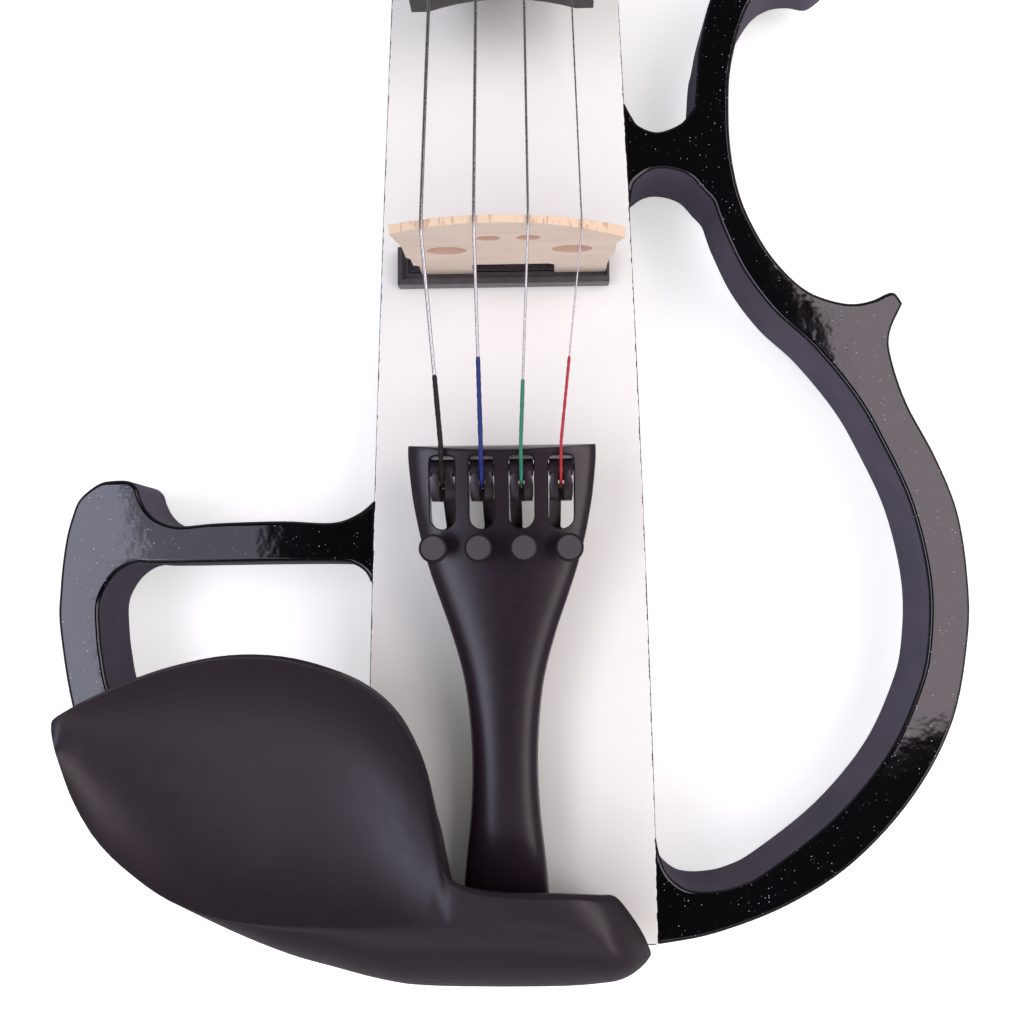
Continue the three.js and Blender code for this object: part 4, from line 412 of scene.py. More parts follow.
def smooth_run(points, steps):
    """Points along an even spline through all the given ones, its ends held."""
    run = []
    last = len(points) - 1
    for place in range(last):
        before = points[max(place - 1, 0)]
        start, end = points[place], points[place + 1]
        after = points[min(place + 2, last)]
        for step in range(steps):
            t = step / steps
            run.append(tuple(
                0.5 * (2 * b + (c - a) * t + (2 * a - 5 * b + 4 * c - d) * t * t
                       + (3 * b - a - 3 * c + d) * t ** 3)
                for a, b, c, d in zip(before, start, end, after)
            ))
    return run + [tuple(points[last])]


def wing_points(shares, side):
    return [(side * x * HALF_SPAN, y * TAIL_REACH) for x, y in shares]


def wing_outline(side, *runs, inside):
    outline = []
    start = None
    for run in runs:
        points = wing_points(run, side)
        if start:
            points = [start] + points
        smooth = smooth_run(points, 6)
        outline += smooth if not outline else smooth[1:]
        start = smooth[-1]
    first = outline[0][1]
    return outline + [(side * inside * HALF_SPAN, outline[-1][1]), (side * inside * HALF_SPAN, first)]


def build_wing(name, side, outline, loops, finish):
    flat = bpy.data.curves.new(name, "CURVE")
    flat.dimensions = "2D"
    flat.fill_mode = "BOTH"
    flat.extrude = WING_DEPTH / 2 - WING_ROUND
    flat.bevel_depth = WING_ROUND
    flat.bevel_resolution = 3
    flat.offset = -WING_ROUND
    for line in [outline, *loops]:
        spline = flat.splines.new("POLY")
        spline.points.add(len(line) - 1)
        for spot, (x, y) in zip(spline.points, line):
            spot.co = (x, y, 0, 1)
        spline.use_cyclic_u = True
    drawn = bpy.data.objects.new(name + "_outline", flat)
    scene.collection.objects.link(drawn)
    graph = bpy.context.evaluated_depsgraph_get()
    mesh = bpy.data.meshes.new_from_object(drawn.evaluated_get(graph))
    bpy.data.objects.remove(drawn)
    form = bmesh.new()
    form.from_mesh(mesh)
    bmesh.ops.remove_doubles(form, verts=form.verts, dist=0.003 * MM)
    bmesh.ops.translate(form, verts=form.verts, vec=(0, 0, BODY_TOP - WING_DEPTH / 2))
    bmesh.ops.recalc_face_normals(form, faces=form.faces)
    form.to_mesh(mesh)
    form.free()
    wing = piece_from(name + "_lacquered", mesh, finish)
    flank = [(side * (body_half(y * MM) + GLUE_LINE), y * MM) for y in range(-165, 196, 5)]
    inner = [(side * 5 * MM, -165 * MM), (side * 5 * MM, 195 * MM)]
    plan = [inner[0], *flank, inner[1]]
    wing = cut_by(wing, closed_mesh("flank", [[(x, y, z) for x, y in plan] for z in (0, BODY_TOP + 5 * MM)]))
    shade(wing)
    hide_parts(name)
    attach(wing, "violin")
    return wing


def lacquer_finish(name):
    finish, tree, shader = new_finish(name, 0.08, Coat_Roughness=0.03)
    place = add_node(tree, "ShaderNodeTexCoord")
    flakes = add_node(tree, "ShaderNodeTexVoronoi", {"Vector": place.outputs["Object"], "Scale": 1300.0})
    small = ramp(tree, flakes.outputs["Distance"], 0.08, 0.15, 1.0, 0.0)
    chosen = add_node(tree, "ShaderNodeSeparateColor", {0: flakes.outputs["Color"]}).outputs
    facing = add_node(tree, "ShaderNodeSeparateXYZ", {0: place.outputs["Normal"]}).outputs[2]
    flatness = ramp(tree, reckon(tree, "ABSOLUTE", facing), 0.1, 0.6)
    flake_share = reckon(tree, "MULTIPLY", small, flatness)
    cloud = ramp(tree, object_noise(tree, 90, 3), 0.3, 0.7)
    # The steep wall faces get a lighter blue-grey base than the flat faces: a painted reflection of the room
    # on them.
    wall_painted_reflection = mix_colours(tree, cloud, (0.084, 0.070, 0.104, 1), (0.113, 0.092, 0.138, 1))
    black = mix_colours(tree, flatness, wall_painted_reflection, (0.0022, 0.0020, 0.0028, 1))
    spark = reckon(tree, "POWER", ramp(tree, chosen[0], 0.4, 1.0), 3.0)
    bright = mix_colours(tree, spark, (0.0022, 0.002, 0.0028, 1), (0.9, 0.9, 0.95, 1))
    tree.links.new(mix_colours(tree, flake_share, black, bright), shader.inputs["Base Color"])
    tree.links.new(ramp(tree, flatness, 0, 1, 0.42, 0.07), shader.inputs["Roughness"])
    tree.links.new(ramp(tree, flatness, 0, 1, 0.35, 0.5), shader.inputs["Specular IOR Level"])
    tree.links.new(ramp(tree, flatness, 0, 1, 0.0, 0.25), shader.inputs["Coat Weight"])
    add_bump(tree, shader, object_noise(tree, 240, 2), 0.06 * MM, 0.9)
    return finish


lacquer = lacquer_finish("sparkling_lacquer")
treble_outline = wing_outline(1, LOWER_BOUT_OUTER + TREBLE_FLANK, WAIST, UPPER_BOUT_OUTER, inside=0.12)
treble_loops = [
    wing_outline(1, TREBLE_LOOP + LOWER_BOUT_INNER, inside=0.17),
    wing_outline(1, UPPER_LOOP, inside=0.17),
]
build_wing("treble_wing", 1, treble_outline, treble_loops, lacquer)
bass_outline = wing_outline(-1, LOWER_BOUT_OUTER + BASS_TOP, inside=0.12)
bass_loops = [wing_outline(-1, BASS_LOOP + LOWER_BOUT_INNER, inside=0.17)]
build_wing("bass_wing", -1, bass_outline, bass_loops, lacquer)

# The neck, pegbox and scroll are carved from one piece of wood and sprayed with the wings.
# The carving is rounded by hand, so its edges are soft.
neck = nodes["neck"]
cover(neck, lacquer)


def carve(target, grain, rounds):
    cast = target.modifiers.new("carved", "REMESH")
    cast.mode = "VOXEL"
    cast.voxel_size = grain
    cast.use_smooth_shade = True
    eased = target.modifiers.new("rubbed_down", "SMOOTH")
    eased.factor = 0.5
    eased.iterations = rounds


carve(neck, 0.6 * MM, 5)

# The fingerboard, pegs, end button and lower saddle are dark hardwood, oiled to a satin.
# Fine pores run along the wood.


def dark_wood_finish(name, dark, light, roughness, along=(1.0, 0.06, 1.0)):
    finish, tree, shader = new_finish(name, roughness)
    streaks = ramp(tree, object_noise(tree, 900, 3, along), 0.35, 0.7)
    tree.links.new(mix_colours(tree, streaks, dark, light), shader.inputs["Base Color"])
    tree.links.new(ramp(tree, object_noise(tree, 120, 2), 0.3, 0.7, roughness - 0.05, roughness + 0.06),
                   shader.inputs["Roughness"])
    add_bump(tree, shader, object_noise(tree, 1400, 3, along), 0.03 * MM, 0.3)
    return finish


def dress(finish, width, *names, segments=2):
    for name in names:
        cover(nodes[name], finish)
        soften(nodes[name], width, segments)


ebony = dark_wood_finish("oiled_dark_wood", (0.012, 0.009, 0.010, 1), (0.032, 0.024, 0.025, 1), 0.42)
dress(ebony, 0.6 * MM, "fingerboard", segments=3)
dress(ebony, 0.5 * MM, "lower_saddle", segments=3)
cross_ebony = dark_wood_finish(
    "turned_dark_wood", (0.014, 0.010, 0.010, 1), (0.034, 0.024, 0.024, 1), 0.34, (0.06, 1.0, 1.0),
)
for name in ("g", "d", "a", "e"):
    cover(nodes[f"peg_{name}"], cross_ebony)
    carve(nodes[f"peg_{name}"], 0.35 * MM, 4)
cover(nodes["end_button"], ebony)
carve(nodes["end_button"], 0.35 * MM, 4)

# The bridge is plain unvarnished maple, cut thin towards its top, with two kidneys and a split heart.
# Its grain shows as fine dark ticks.
maple, tree, shader = new_finish("bare_maple", 0.62)
place = add_node(tree, "ShaderNodeTexCoord")
facing = add_node(tree, "ShaderNodeSeparateXYZ", {0: place.outputs["Normal"]})
spot = add_node(tree, "ShaderNodeSeparateXYZ", {0: place.outputs["Object"]})
height = spot.outputs[2]
flecks = ramp(tree, object_noise(tree, 1500, 2, (1.0, 0.22, 0.35)), 0.54, 0.68)
rings = ramp(tree, object_noise(tree, 260, 3, (0.15, 1.0, 1.0)), 0.35, 0.65)
pale = mix_colours(tree, rings, (0.78, 0.61, 0.51, 1), (0.84, 0.69, 0.59, 1))
top_wood = mix_colours(tree, flecks, (0.80, 0.60, 0.43, 1), (0.60, 0.38, 0.25, 1))
is_top = ramp(tree, facing.outputs[2], 0.5, 0.7)
is_wall = ramp(tree, reckon(tree, "ABSOLUTE", facing.outputs[1]), 0.75, 0.45)
# The cut-outs lie between these heights and these sides.
over_feet = ramp(tree, height, BODY_TOP + 14 * MM, BODY_TOP + 15 * MM)
under_top = ramp(tree, height, BODY_TOP + 28 * MM, BODY_TOP + 27.5 * MM)
between_sides = ramp(tree, reckon(tree, "ABSOLUTE", spot.outputs[0]), 20.9 * MM, 20.5 * MM)
in_holes = reckon(tree, "MULTIPLY", reckon(tree, "MULTIPLY", over_feet, under_top), between_sides)
is_hole = reckon(tree, "MULTIPLY", is_wall, in_holes)
carved = mix_colours(tree, is_hole, mix_colours(tree, is_top, pale, top_wood), (0.66, 0.45, 0.35, 1))
tree.links.new(carved, shader.inputs["Base Color"])
add_bump(tree, shader, flecks, 0.02 * MM, 0.3)
dress(maple, 0.3 * MM, "bridge")

# The pickup tray is moulded black plastic, open at its top, and a steel pickup bar lies in its floor.
# The nut, the control plate and its knobs are the same plastic.


def plastic_finish(name, colour, roughness, grain=0.03):
    finish, tree, shader = new_finish(name, roughness)
    tone = ramp(tree, object_noise(tree, 500, 3), 0.3, 0.7)
    lighter = tuple(min(channel * 1.35, 1) for channel in colour[:3]) + (1,)
    tree.links.new(mix_colours(tree, tone, colour, lighter), shader.inputs["Base Color"])
    add_bump(tree, shader, object_noise(tree, 2600, 2), grain * MM, 0.35)
    return finish


black_plastic = plastic_finish("moulded_black_plastic", (0.012, 0.011, 0.013, 1), 0.36)
dress(black_plastic, 0.25 * MM, "nut", "control_plate", "volume_knob", "tone_knob", "power_switch")
dress(black_plastic, 0.25 * MM, "battery_clip")
dress(black_plastic, 0.3 * MM, "battery_cover")
tray_low, tray_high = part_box("pickup_tray")
tray_low.y += 0.3 * MM
tray = piece_from("pickup_tray_moulded", box_mesh(tray_low, tray_high), plastic_finish(
    "tray_plastic", (0.05, 0.045, 0.05, 1), 0.3,
))
cut_by(tray, box_mesh(
    tray_low + Vector((1.1, 1.5, 1.8)) * MM, tray_high + Vector((-0.6, -1.1, 1)) * MM,
))
bar_low, bar_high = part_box("pickup_bar")
cut_by(tray, box_mesh(bar_low - Vector((0.2, 0.2, 0.2)) * MM, bar_high + Vector((0.2, 0.2, 2)) * MM))
soften(tray, 0.15 * MM)
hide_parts("pickup_tray")
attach(tray, "violin")


def metal_finish(name, colour, roughness, scale=1500):
    finish, tree, shader = new_finish(name, roughness, Metallic=1.0)
    marks = object_noise(tree, scale, 2)
    darker = tuple(channel * 0.82 for channel in colour[:3]) + (1,)
    tone = mix_colours(tree, ramp(tree, marks, 0.3, 0.7), darker, colour)
    tree.links.new(tone, shader.inputs["Base Color"])
    tree.links.new(ramp(tree, marks, 0.3, 0.7, roughness * 0.8, roughness * 1.3), shader.inputs["Roughness"])
    return finish


dark_steel = metal_finish("dark_plated_steel", (0.16, 0.15, 0.17, 1), 0.32)
nickel = metal_finish("bright_nickel", (0.72, 0.70, 0.66, 1), 0.2)
brass = metal_finish("turned_brass", (0.69, 0.50, 0.24, 1), 0.26)
dress(dark_steel, 0.1 * MM, "pickup_bar", "tuner_axle")

# The tailpiece is one satin moulding: arched, wide at its tuners, waisted, and hollow below.
# Four round-ended slots with a small chamfer let the tuner levers through.
TAIL_TOP = -45 * MM
TAIL_END = -150 * MM
TAIL_HALF = 20.6 * MM
TAIL_SHIFT = -0.7 * MM
TAIL_ARCH = 4.4 * MM
TAIL_EDGE = 2.2 * MM
TAIL_SHELL = 3.0 * MM
TAIL_LENGTH_SHARES = (0, 0.04, 0.13, 0.243, 0.39, 0.485, 0.58, 0.678, 0.774, 0.87, 0.95, 0.985, 1)
TAIL_WIDTH_SHARES = (1, 0.995, 0.94, 0.81, 0.56, 0.433, 0.373, 0.356, 0.378, 0.43, 0.46, 0.43, 0.36)
SLOT_HALF = 2.75 * MM
SLOT_TOP = -47.7 * MM
SLOT_END = -63.4 * MM
SLOT_CHAMFER = 0.3 * MM
SLOT_CORNER = 1.1 * MM
TOP_SAG = 1.5 * MM
TOP_SAG_LENGTH = 2.5 * MM
SCREW_Y = -67.8 * MM
TUNER_PITCH = 8.6 * MM
SCREW_PITCH = 9.6 * MM
GUT_SPACING = 5 * MM
GUT_POCKET = (7.3 * MM, 10 * MM, 2.3 * MM)
GUT_WALL = 4 * MM
GUT_BORE = 1.3 * MM
SCREW_BORE = 1.3 * MM
HOLLOW_LENGTH = 36 * MM
HOLLOW_STEPS = 24
ARCH_STEPS = 36
TAIL_STEPS = 96


def tail_share(y):
    return (TAIL_TOP - y) / (TAIL_TOP - TAIL_END)


def tail_crown(y):
    return BODY_TOP + (25.3 - 12.9 * tail_share(y)) * MM


TAIL_WIDTHS = smooth_run(list(zip(TAIL_LENGTH_SHARES, TAIL_WIDTH_SHARES)), 16)


def tail_half(y):
    wanted = min(max(tail_share(y), 0), 1)
    for (low, narrow), (high, wide) in zip(TAIL_WIDTHS, TAIL_WIDTHS[1:]):
        if high >= wanted:
            return TAIL_HALF * (narrow + (wide - narrow) * (wanted - low) / max(high - low, 1e-9))
    return TAIL_HALF * TAIL_WIDTH_SHARES[-1]


def tail_ring(y, half, crown, arch, edge):
    ring = []
    near_end = max(1 - (TAIL_TOP - y) / TOP_SAG_LENGTH, 0)
    for step in range(ARCH_STEPS + 1):
        angle = math.pi * step / ARCH_STEPS
        x = TAIL_SHIFT + half * math.cos(angle)
        sag = TOP_SAG * near_end * math.sin(angle) ** 2
        ring.append((x, y - sag, crown - arch + arch * max(math.sin(angle), 0) ** 0.8))
    low = crown - arch - edge
    return ring + [(TAIL_SHIFT - half, y, low), (TAIL_SHIFT + half, y, low)]


def tail_surface(x, y):
    sine = math.sqrt(max(1 - ((x - TAIL_SHIFT) / tail_half(y)) ** 2, 0))
    return tail_crown(y) - TAIL_ARCH + TAIL_ARCH * sine ** 0.8


def tail_rings():
    rings = []
    for step in range(TAIL_STEPS + 1):
        y = TAIL_TOP + (TAIL_END - TAIL_TOP) * step / TAIL_STEPS
        rings.append(tail_ring(y, tail_half(y), tail_crown(y), TAIL_ARCH, TAIL_EDGE))
    first = rings[0]
    tucked = [(x, y, z - 0.25 * MM) for x, y, z in first[:-2]] + list(first[-2:])
    rings[0] = tucked
    return rings


moulding = plastic_finish("satin_moulding", (0.0140, 0.0072, 0.0125, 1), 0.3, 0.05)
tail_mesh = closed_mesh("tailpiece_moulding", tail_rings())
tailpiece = piece_from("tailpiece_moulding", tail_mesh, moulding)
under = []
for step in range(HOLLOW_STEPS + 1):
    y = SLOT_TOP - HOLLOW_LENGTH * step / HOLLOW_STEPS
    under.append(tail_ring(y, tail_half(y) - TAIL_SHELL, tail_crown(y) - TAIL_SHELL, TAIL_ARCH - 0.6 * MM,
                           TAIL_EDGE + 2 * MM))
cut_by(tailpiece, closed_mesh("under", under))
for place in range(4):
    middle = (place - 1.5) * TUNER_PITCH + TAIL_SHIFT
    plan = []
    for side, start in ((1, 0), (-1, 90)):
        for step in range(5):
            angle = math.radians(start + 22.5 * step)
            dx, dy = math.cos(angle), math.sin(angle)
            plan.append((middle + side * (SLOT_HALF - SLOT_CORNER) + SLOT_CORNER * dx,
                         SLOT_TOP - SLOT_CORNER + SLOT_CORNER * dy, dx, dy))
    for step in range(17):
        angle = math.pi + math.pi * step / 16
        plan.append((middle + SLOT_HALF * math.cos(angle), SLOT_END + SLOT_HALF + SLOT_HALF * math.sin(angle),
                     math.cos(angle), math.sin(angle)))
    rings = []
    for lift, flare in ((-14 * MM, 0), (-SLOT_CHAMFER, 0), (SLOT_CHAMFER, 2 * SLOT_CHAMFER)):
        rings.append([(x + dx * flare, y + dy * flare, tail_surface(x, y) + lift) for x, y, dx, dy in plan])
    cut_by(tailpiece, closed_mesh("slot", rings))
    screw_spot = ((place - 1.5) * SCREW_PITCH + TAIL_SHIFT, SCREW_Y, 0)
    cut_by(tailpiece, bar_mesh("z", SCREW_BORE, 20 * MM, 60 * MM, screw_spot))
AXLE_Y = -50 * MM
AXLE_BORE = 1.1 * MM
AXLE_Z = tail_crown(AXLE_Y) - TAIL_ARCH + 1.3 * MM
cut_by(tailpiece, bar_mesh("x", AXLE_BORE, -17.4 * MM, 17.4 * MM, (TAIL_SHIFT, AXLE_Y, AXLE_Z)))
GUT_Z = tail_crown(TAIL_END) - TAIL_ARCH
pocket_half, pocket_length, pocket_rise = GUT_POCKET
cut_by(tailpiece, box_mesh(
    (TAIL_SHIFT - pocket_half, TAIL_END + GUT_WALL, BODY_TOP),
    (TAIL_SHIFT + pocket_half, TAIL_END + GUT_WALL + pocket_length, GUT_Z + pocket_rise),
))
for side in (-1, 1):
    gut_spot = (TAIL_SHIFT + side * GUT_SPACING, 0, GUT_Z)
    cut_by(tailpiece, bar_mesh("y", GUT_BORE, TAIL_END - 2 * MM, TAIL_END + 6 * MM, gut_spot))
shade(tailpiece, 28)
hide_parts("tailpiece")
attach(tailpiece, "violin")

# Each fine tuner is a moulded lever on the axle, its fork round the string, and a screw with a knurled rim.
# The screw's flat top is painted lighter than its rim: painted light on the top and painted shade on the rim
# and chamfer.
KNURLS = 44
HEAD_RADIUS = 3.1 * MM
HEAD_HEIGHT = 2.6 * MM
HEAD_LIFT = 3 * MM
SHAFT_RADIUS = 1.1 * MM
SHAFT_DROP = 10.5 * MM
KNURL_DEPTH = 0.16 * MM
HUB_RADIUS = 1.9 * MM
LEVER_HALF = 2.6 * MM
FORK_LENGTH = 7.2 * MM
FORK_GAP = 0.65 * MM
BALL_Y = -54.2 * MM
ARM_INSET = 1.3 * MM
ARM_HALF = 1.3 * MM
PAD_HALF = 2 * MM
# Stations of the fork: share of length, share of half width, then top and underside in shares of the hub.
FORK_SHARES = (
    (0, 0.72, 0.7, -0.8), (0.25, 0.86, 0.85, -0.9), (0.55, 1, 0.7, -1.0), (0.85, 0.98, 0.3, -1.1),
    (1, 0.9, -0.1, -1.1),
)


def knurled_ring(radius, depth, x, y, z):
    ring = []
    for tooth in range(KNURLS * 2):
        angle = math.pi * tooth / KNURLS
        reach = radius - (tooth % 2) * depth
        ring.append((x + reach * math.cos(angle), y + reach * math.sin(angle), z))
    return ring


def build_lever(name, lever_x, screw_x):
    lever = piece_from(f"lever_{name}_moulded", bar_mesh(
        "x", HUB_RADIUS, -LEVER_HALF, LEVER_HALF, (lever_x, AXLE_Y, AXLE_Z), 32,
    ), moulding)
    fork = []
    for down, half, top, low in FORK_SHARES:
        y = AXLE_Y - FORK_LENGTH * down
        wide = LEVER_HALF * half
        corners = ((1, low), (-1, low), (-1, top), (-0.6, top + 0.12), (0.6, top + 0.12), (1, top))
        fork.append([(lever_x + side * wide, y, AXLE_Z + level * HUB_RADIUS) for side, level in corners])
    cut_by(lever, closed_mesh("fork", fork), "UNION")
    arm_top = tail_crown(SCREW_Y) - 10.8 * MM
    inset = ARM_INSET if lever_x < TAIL_SHIFT else -ARM_INSET
    arm = []
    for y, x, half, top in (
        (AXLE_Y - FORK_LENGTH + 0.6 * MM, lever_x + inset, ARM_HALF, AXLE_Z - 0.6 * MM),
        (SLOT_END + 1.2 * MM, lever_x + inset, ARM_HALF, arm_top + 0.6 * MM),
        (SCREW_Y + 1.1 * MM, screw_x, PAD_HALF, arm_top), (SCREW_Y - 2.2 * MM, screw_x, PAD_HALF, arm_top),
    ):
        low = top - 1.6 * MM
        arm.append([(x - half, y, low), (x + half, y, low), (x + half, y, top), (x - half, y, top)])
    cut_by(lever, closed_mesh("arm", arm), "UNION")
    cut_by(lever, box_mesh(
        (lever_x - FORK_GAP, AXLE_Y - FORK_LENGTH - 0.5 * MM, AXLE_Z - 0.9 * MM),
        (lever_x + FORK_GAP, AXLE_Y - 1.5 * MM, AXLE_Z + 4 * MM),
    ))
    cut_by(lever, box_mesh(
        (lever_x - FORK_GAP, BALL_Y - 0.9 * MM, AXLE_Z - 4 * MM),
        (lever_x + FORK_GAP, BALL_Y + 1.5 * MM, AXLE_Z),
    ))
    cut_by(lever, bar_mesh("x", AXLE_BORE, -4 * MM, 4 * MM, (lever_x, AXLE_Y, AXLE_Z)))
    bevel = lever.modifiers.new("softened_edges", "BEVEL")
    bevel.width = 0.18 * MM
    bevel.segments = 2
    bevel.angle_limit = math.radians(40)
    shade(lever, 40)
    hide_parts(f"tuner_lever_{name}")
    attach(lever, f"{name}_lever")


head_finish, tree, shader = new_finish("turned_screw_head", 0.36)
place = add_node(tree, "ShaderNodeTexCoord")
facing = add_node(tree, "ShaderNodeSeparateXYZ", {0: place.outputs["Normal"]}).outputs[2]
# Faces turned upwards get painted light, and steeper faces get painted shade.
painted_top_highlight = mix_colours(tree, ramp(tree, facing, 0.9, 0.98), (0.009, 0.007, 0.009, 1), (0.064, 0.053, 0.060, 1))
tree.links.new(painted_top_highlight, shader.inputs["Base Color"])
add_bump(tree, shader, object_noise(tree, 3000, 2), 0.02 * MM, 0.35)
for place, name in enumerate(("g", "d", "a", "e")):
    x = (place - 1.5) * SCREW_PITCH + TAIL_SHIFT
    crown = tail_crown(SCREW_Y)
    base = crown + HEAD_LIFT
    rows = [
        (SHAFT_RADIUS, 0, crown - SHAFT_DROP), (SHAFT_RADIUS, 0, base), (HEAD_RADIUS - 0.3 * MM, 0, base),
        (HEAD_RADIUS, KNURL_DEPTH, base + 0.25 * MM),
        (HEAD_RADIUS, KNURL_DEPTH, base + HEAD_HEIGHT - 0.5 * MM),
        (HEAD_RADIUS - 0.15 * MM, 0, base + HEAD_HEIGHT - 0.35 * MM),
        (HEAD_RADIUS - 0.6 * MM, 0, base + HEAD_HEIGHT),
    ]
    mesh = closed_mesh(f"screw_{name}", [knurled_ring(r, depth, x, SCREW_Y, z) for r, depth, z in rows])
    screw = piece_from(f"screw_{name}_knurled", mesh, head_finish)
    shade(screw, 30)
    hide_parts(f"tuner_screw_{name}")
    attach(screw, f"{name}_screw")
    build_lever(name, (place - 1.5) * TUNER_PITCH + TAIL_SHIFT, x)

# Each string is steel wire wound with flat ribbon, one length from its ball end to the turns on its peg.
# Silk thread is wrapped over its tail end: black, blue, green and red from bass to treble.
STRINGS = (("g", 0.8, 346), ("d", 0.72, 373), ("a", 0.56, 386.5), ("e", 0.36, 359.5))
BRIDGE_PITCH = 11.35 * MM
NUT_PITCH = 5.4 * MM
BRIDGE_ARCH = 46 * MM
BOARD_ARCH = 42 * MM
BOARD_TOP = 37.6 * MM
BOARD_HALF = 12 * MM
BRIDGE_TOP = BODY_TOP + 35.3 * MM
BRIDGE_LEAN = 2 * MM
PEG_AXIS_Z = 24 * MM
PEG_RADIUS = 3.7 * MM
PEG_TURNS = 3
TURN_STEPS = 36
TURN_SPACE = 0.5 * MM
STRING_GAP = 0.3 * MM
TUBE_SIDES = 12


def arch_drop(radius, x):
    return radius - math.sqrt(radius * radius - x * x)


def pegbox_half(y):
    return (12 - 2.5 * (y - 336) / 62) * MM


def string_route(place):
    name, thickness, peg_y = STRINGS[place]
    radius = thickness * MM / 2
    offset = place - 1.5
    tuner_x = offset * TUNER_PITCH + TAIL_SHIFT
    bridge_x, nut_x = offset * BRIDGE_PITCH, offset * NUT_PITCH
    board_rise = arch_drop(BOARD_ARCH, BOARD_HALF) - arch_drop(BOARD_ARCH, nut_x)
    nut_z = BOARD_TOP + board_rise + 0.5 * MM + radius
    bridge_z = BRIDGE_TOP - arch_drop(BRIDGE_ARCH, bridge_x + BRIDGE_LEAN) + radius
    edge_z = tail_crown(TAIL_TOP) + STRING_GAP + radius
    route = [
        (tuner_x, BALL_Y, AXLE_Z - 3.0 * MM),
        (tuner_x, BALL_Y + 0.6 * MM, AXLE_Z + 0.6 * MM),
        (tuner_x, AXLE_Y, AXLE_Z + 2.2 * MM + radius),
        (tuner_x, SLOT_TOP - 0.5 * MM, edge_z),
        (tuner_x, TAIL_TOP, edge_z),
        (bridge_x, -0.75 * MM, bridge_z),
        (bridge_x, 0.75 * MM, bridge_z),
        (bridge_x, 2.25 * MM, bridge_z),
        (nut_x, 328 * MM, nut_z),
        (nut_x, 333.8 * MM, nut_z),
    ]
    leave = route[-1]
    turn_radius = PEG_RADIUS + STRING_GAP + radius
    pitch = 2 * radius + TURN_SPACE
    peg_y = peg_y * MM
    reach = math.hypot(peg_y - leave[1], leave[2] - PEG_AXIS_Z)
    touch = math.atan2(leave[2] - PEG_AXIS_Z, leave[1] - peg_y) - math.acos(turn_radius / reach)
    start_x = pegbox_half(peg_y / MM) - 4.5 * MM - radius
    side = 1 if offset > 0 else -1
    for step in range(PEG_TURNS * TURN_STEPS + 1):
        turn = step / TURN_STEPS
        angle = touch - 2 * math.pi * turn
        route.append((
            side * (start_x - pitch * turn), peg_y + turn_radius * math.cos(angle),
            PEG_AXIS_Z + turn_radius * math.sin(angle),
        ))
    tail = (Vector(route[-1]) - Vector(route[-2])).normalized() * 2 * radius
    route.append(tuple(Vector(route[-1]) + tail))
    return route, radius


def eased(points, radius):
    """The same route with each corner of its run rounded to a short bend."""
    points = [Vector(point) for point in points]
    out = [points[0]]
    for before, here, after in zip(points, points[1:], points[2:]):
        near = min((here - before).length / 2, (after - here).length / 2, radius)
        start = here + (before - here).normalized() * near
        end = here + (after - here).normalized() * near
        near_start, near_end = start.lerp(here, 0.6), end.lerp(here, 0.6)
        out += [Vector(spot) for spot in interpolate_bezier(start, near_start, near_end, end, 5)]
    return out + [points[-1]]


def tube_mesh(name, points, radius_at):
    """A closed round tube along a route, its section carried along without twisting."""
    points = [Vector(point) for point in points]
    ahead = (points[1] - points[0]).normalized()
    across = ahead.orthogonal().normalized()
    rings = []
    for place, spot in enumerate(points):
        before, after = points[max(place - 1, 0)], points[min(place + 1, len(points) - 1)]
        turned = (after - before).normalized()
        across = (ahead.rotation_difference(turned) @ across).normalized()
        ahead = turned
        other = ahead.cross(across)
        radius = radius_at(place)
        rings.append([
            tuple(spot + (across * math.cos(a) + other * math.sin(a)) * radius)
            for a in (2 * math.pi * side / TUBE_SIDES for side in range(TUBE_SIDES))
        ])
    return closed_mesh(name, rings)


string_steel = metal_finish("wound_string", (0.66, 0.64, 0.65, 1), 0.24, 4000)
SILKS = (
    ("black", (0.012, 0.008, 0.009, 1), -30.8), ("blue", (0.010, 0.026, 0.22, 1), -27.3),
    ("green", (0.035, 0.27, 0.17, 1), -32.0), ("red", (0.60, 0.025, 0.045, 1), -27.0),
)


def silk_finish(name, colour):
    finish, tree, shader = new_finish(f"{name}_silk", 0.62)
    place = add_node(tree, "ShaderNodeTexCoord").outputs["Object"]
    lean = add_node(tree, "ShaderNodeMapping", {0: place, 2: (0.3, 0.0, 0.2)}).outputs[0]
    threads = add_node(tree, "ShaderNodeTexWave", {"Vector": lean, "Scale": 900.0, "Distortion": 3.0},
                       bands_direction="Y").outputs["Fac"]
    # The troughs of the thread bands, where the bump sinks, are painted darker: painted shade in the grooves
    # between the threads.
    dark = tuple(channel * 0.45 for channel in colour[:3]) + (1,)
    tree.links.new(mix_colours(tree, threads, dark, colour), shader.inputs["Base Color"])
    add_bump(tree, shader, threads, 0.06 * MM, 0.6)
    return finish


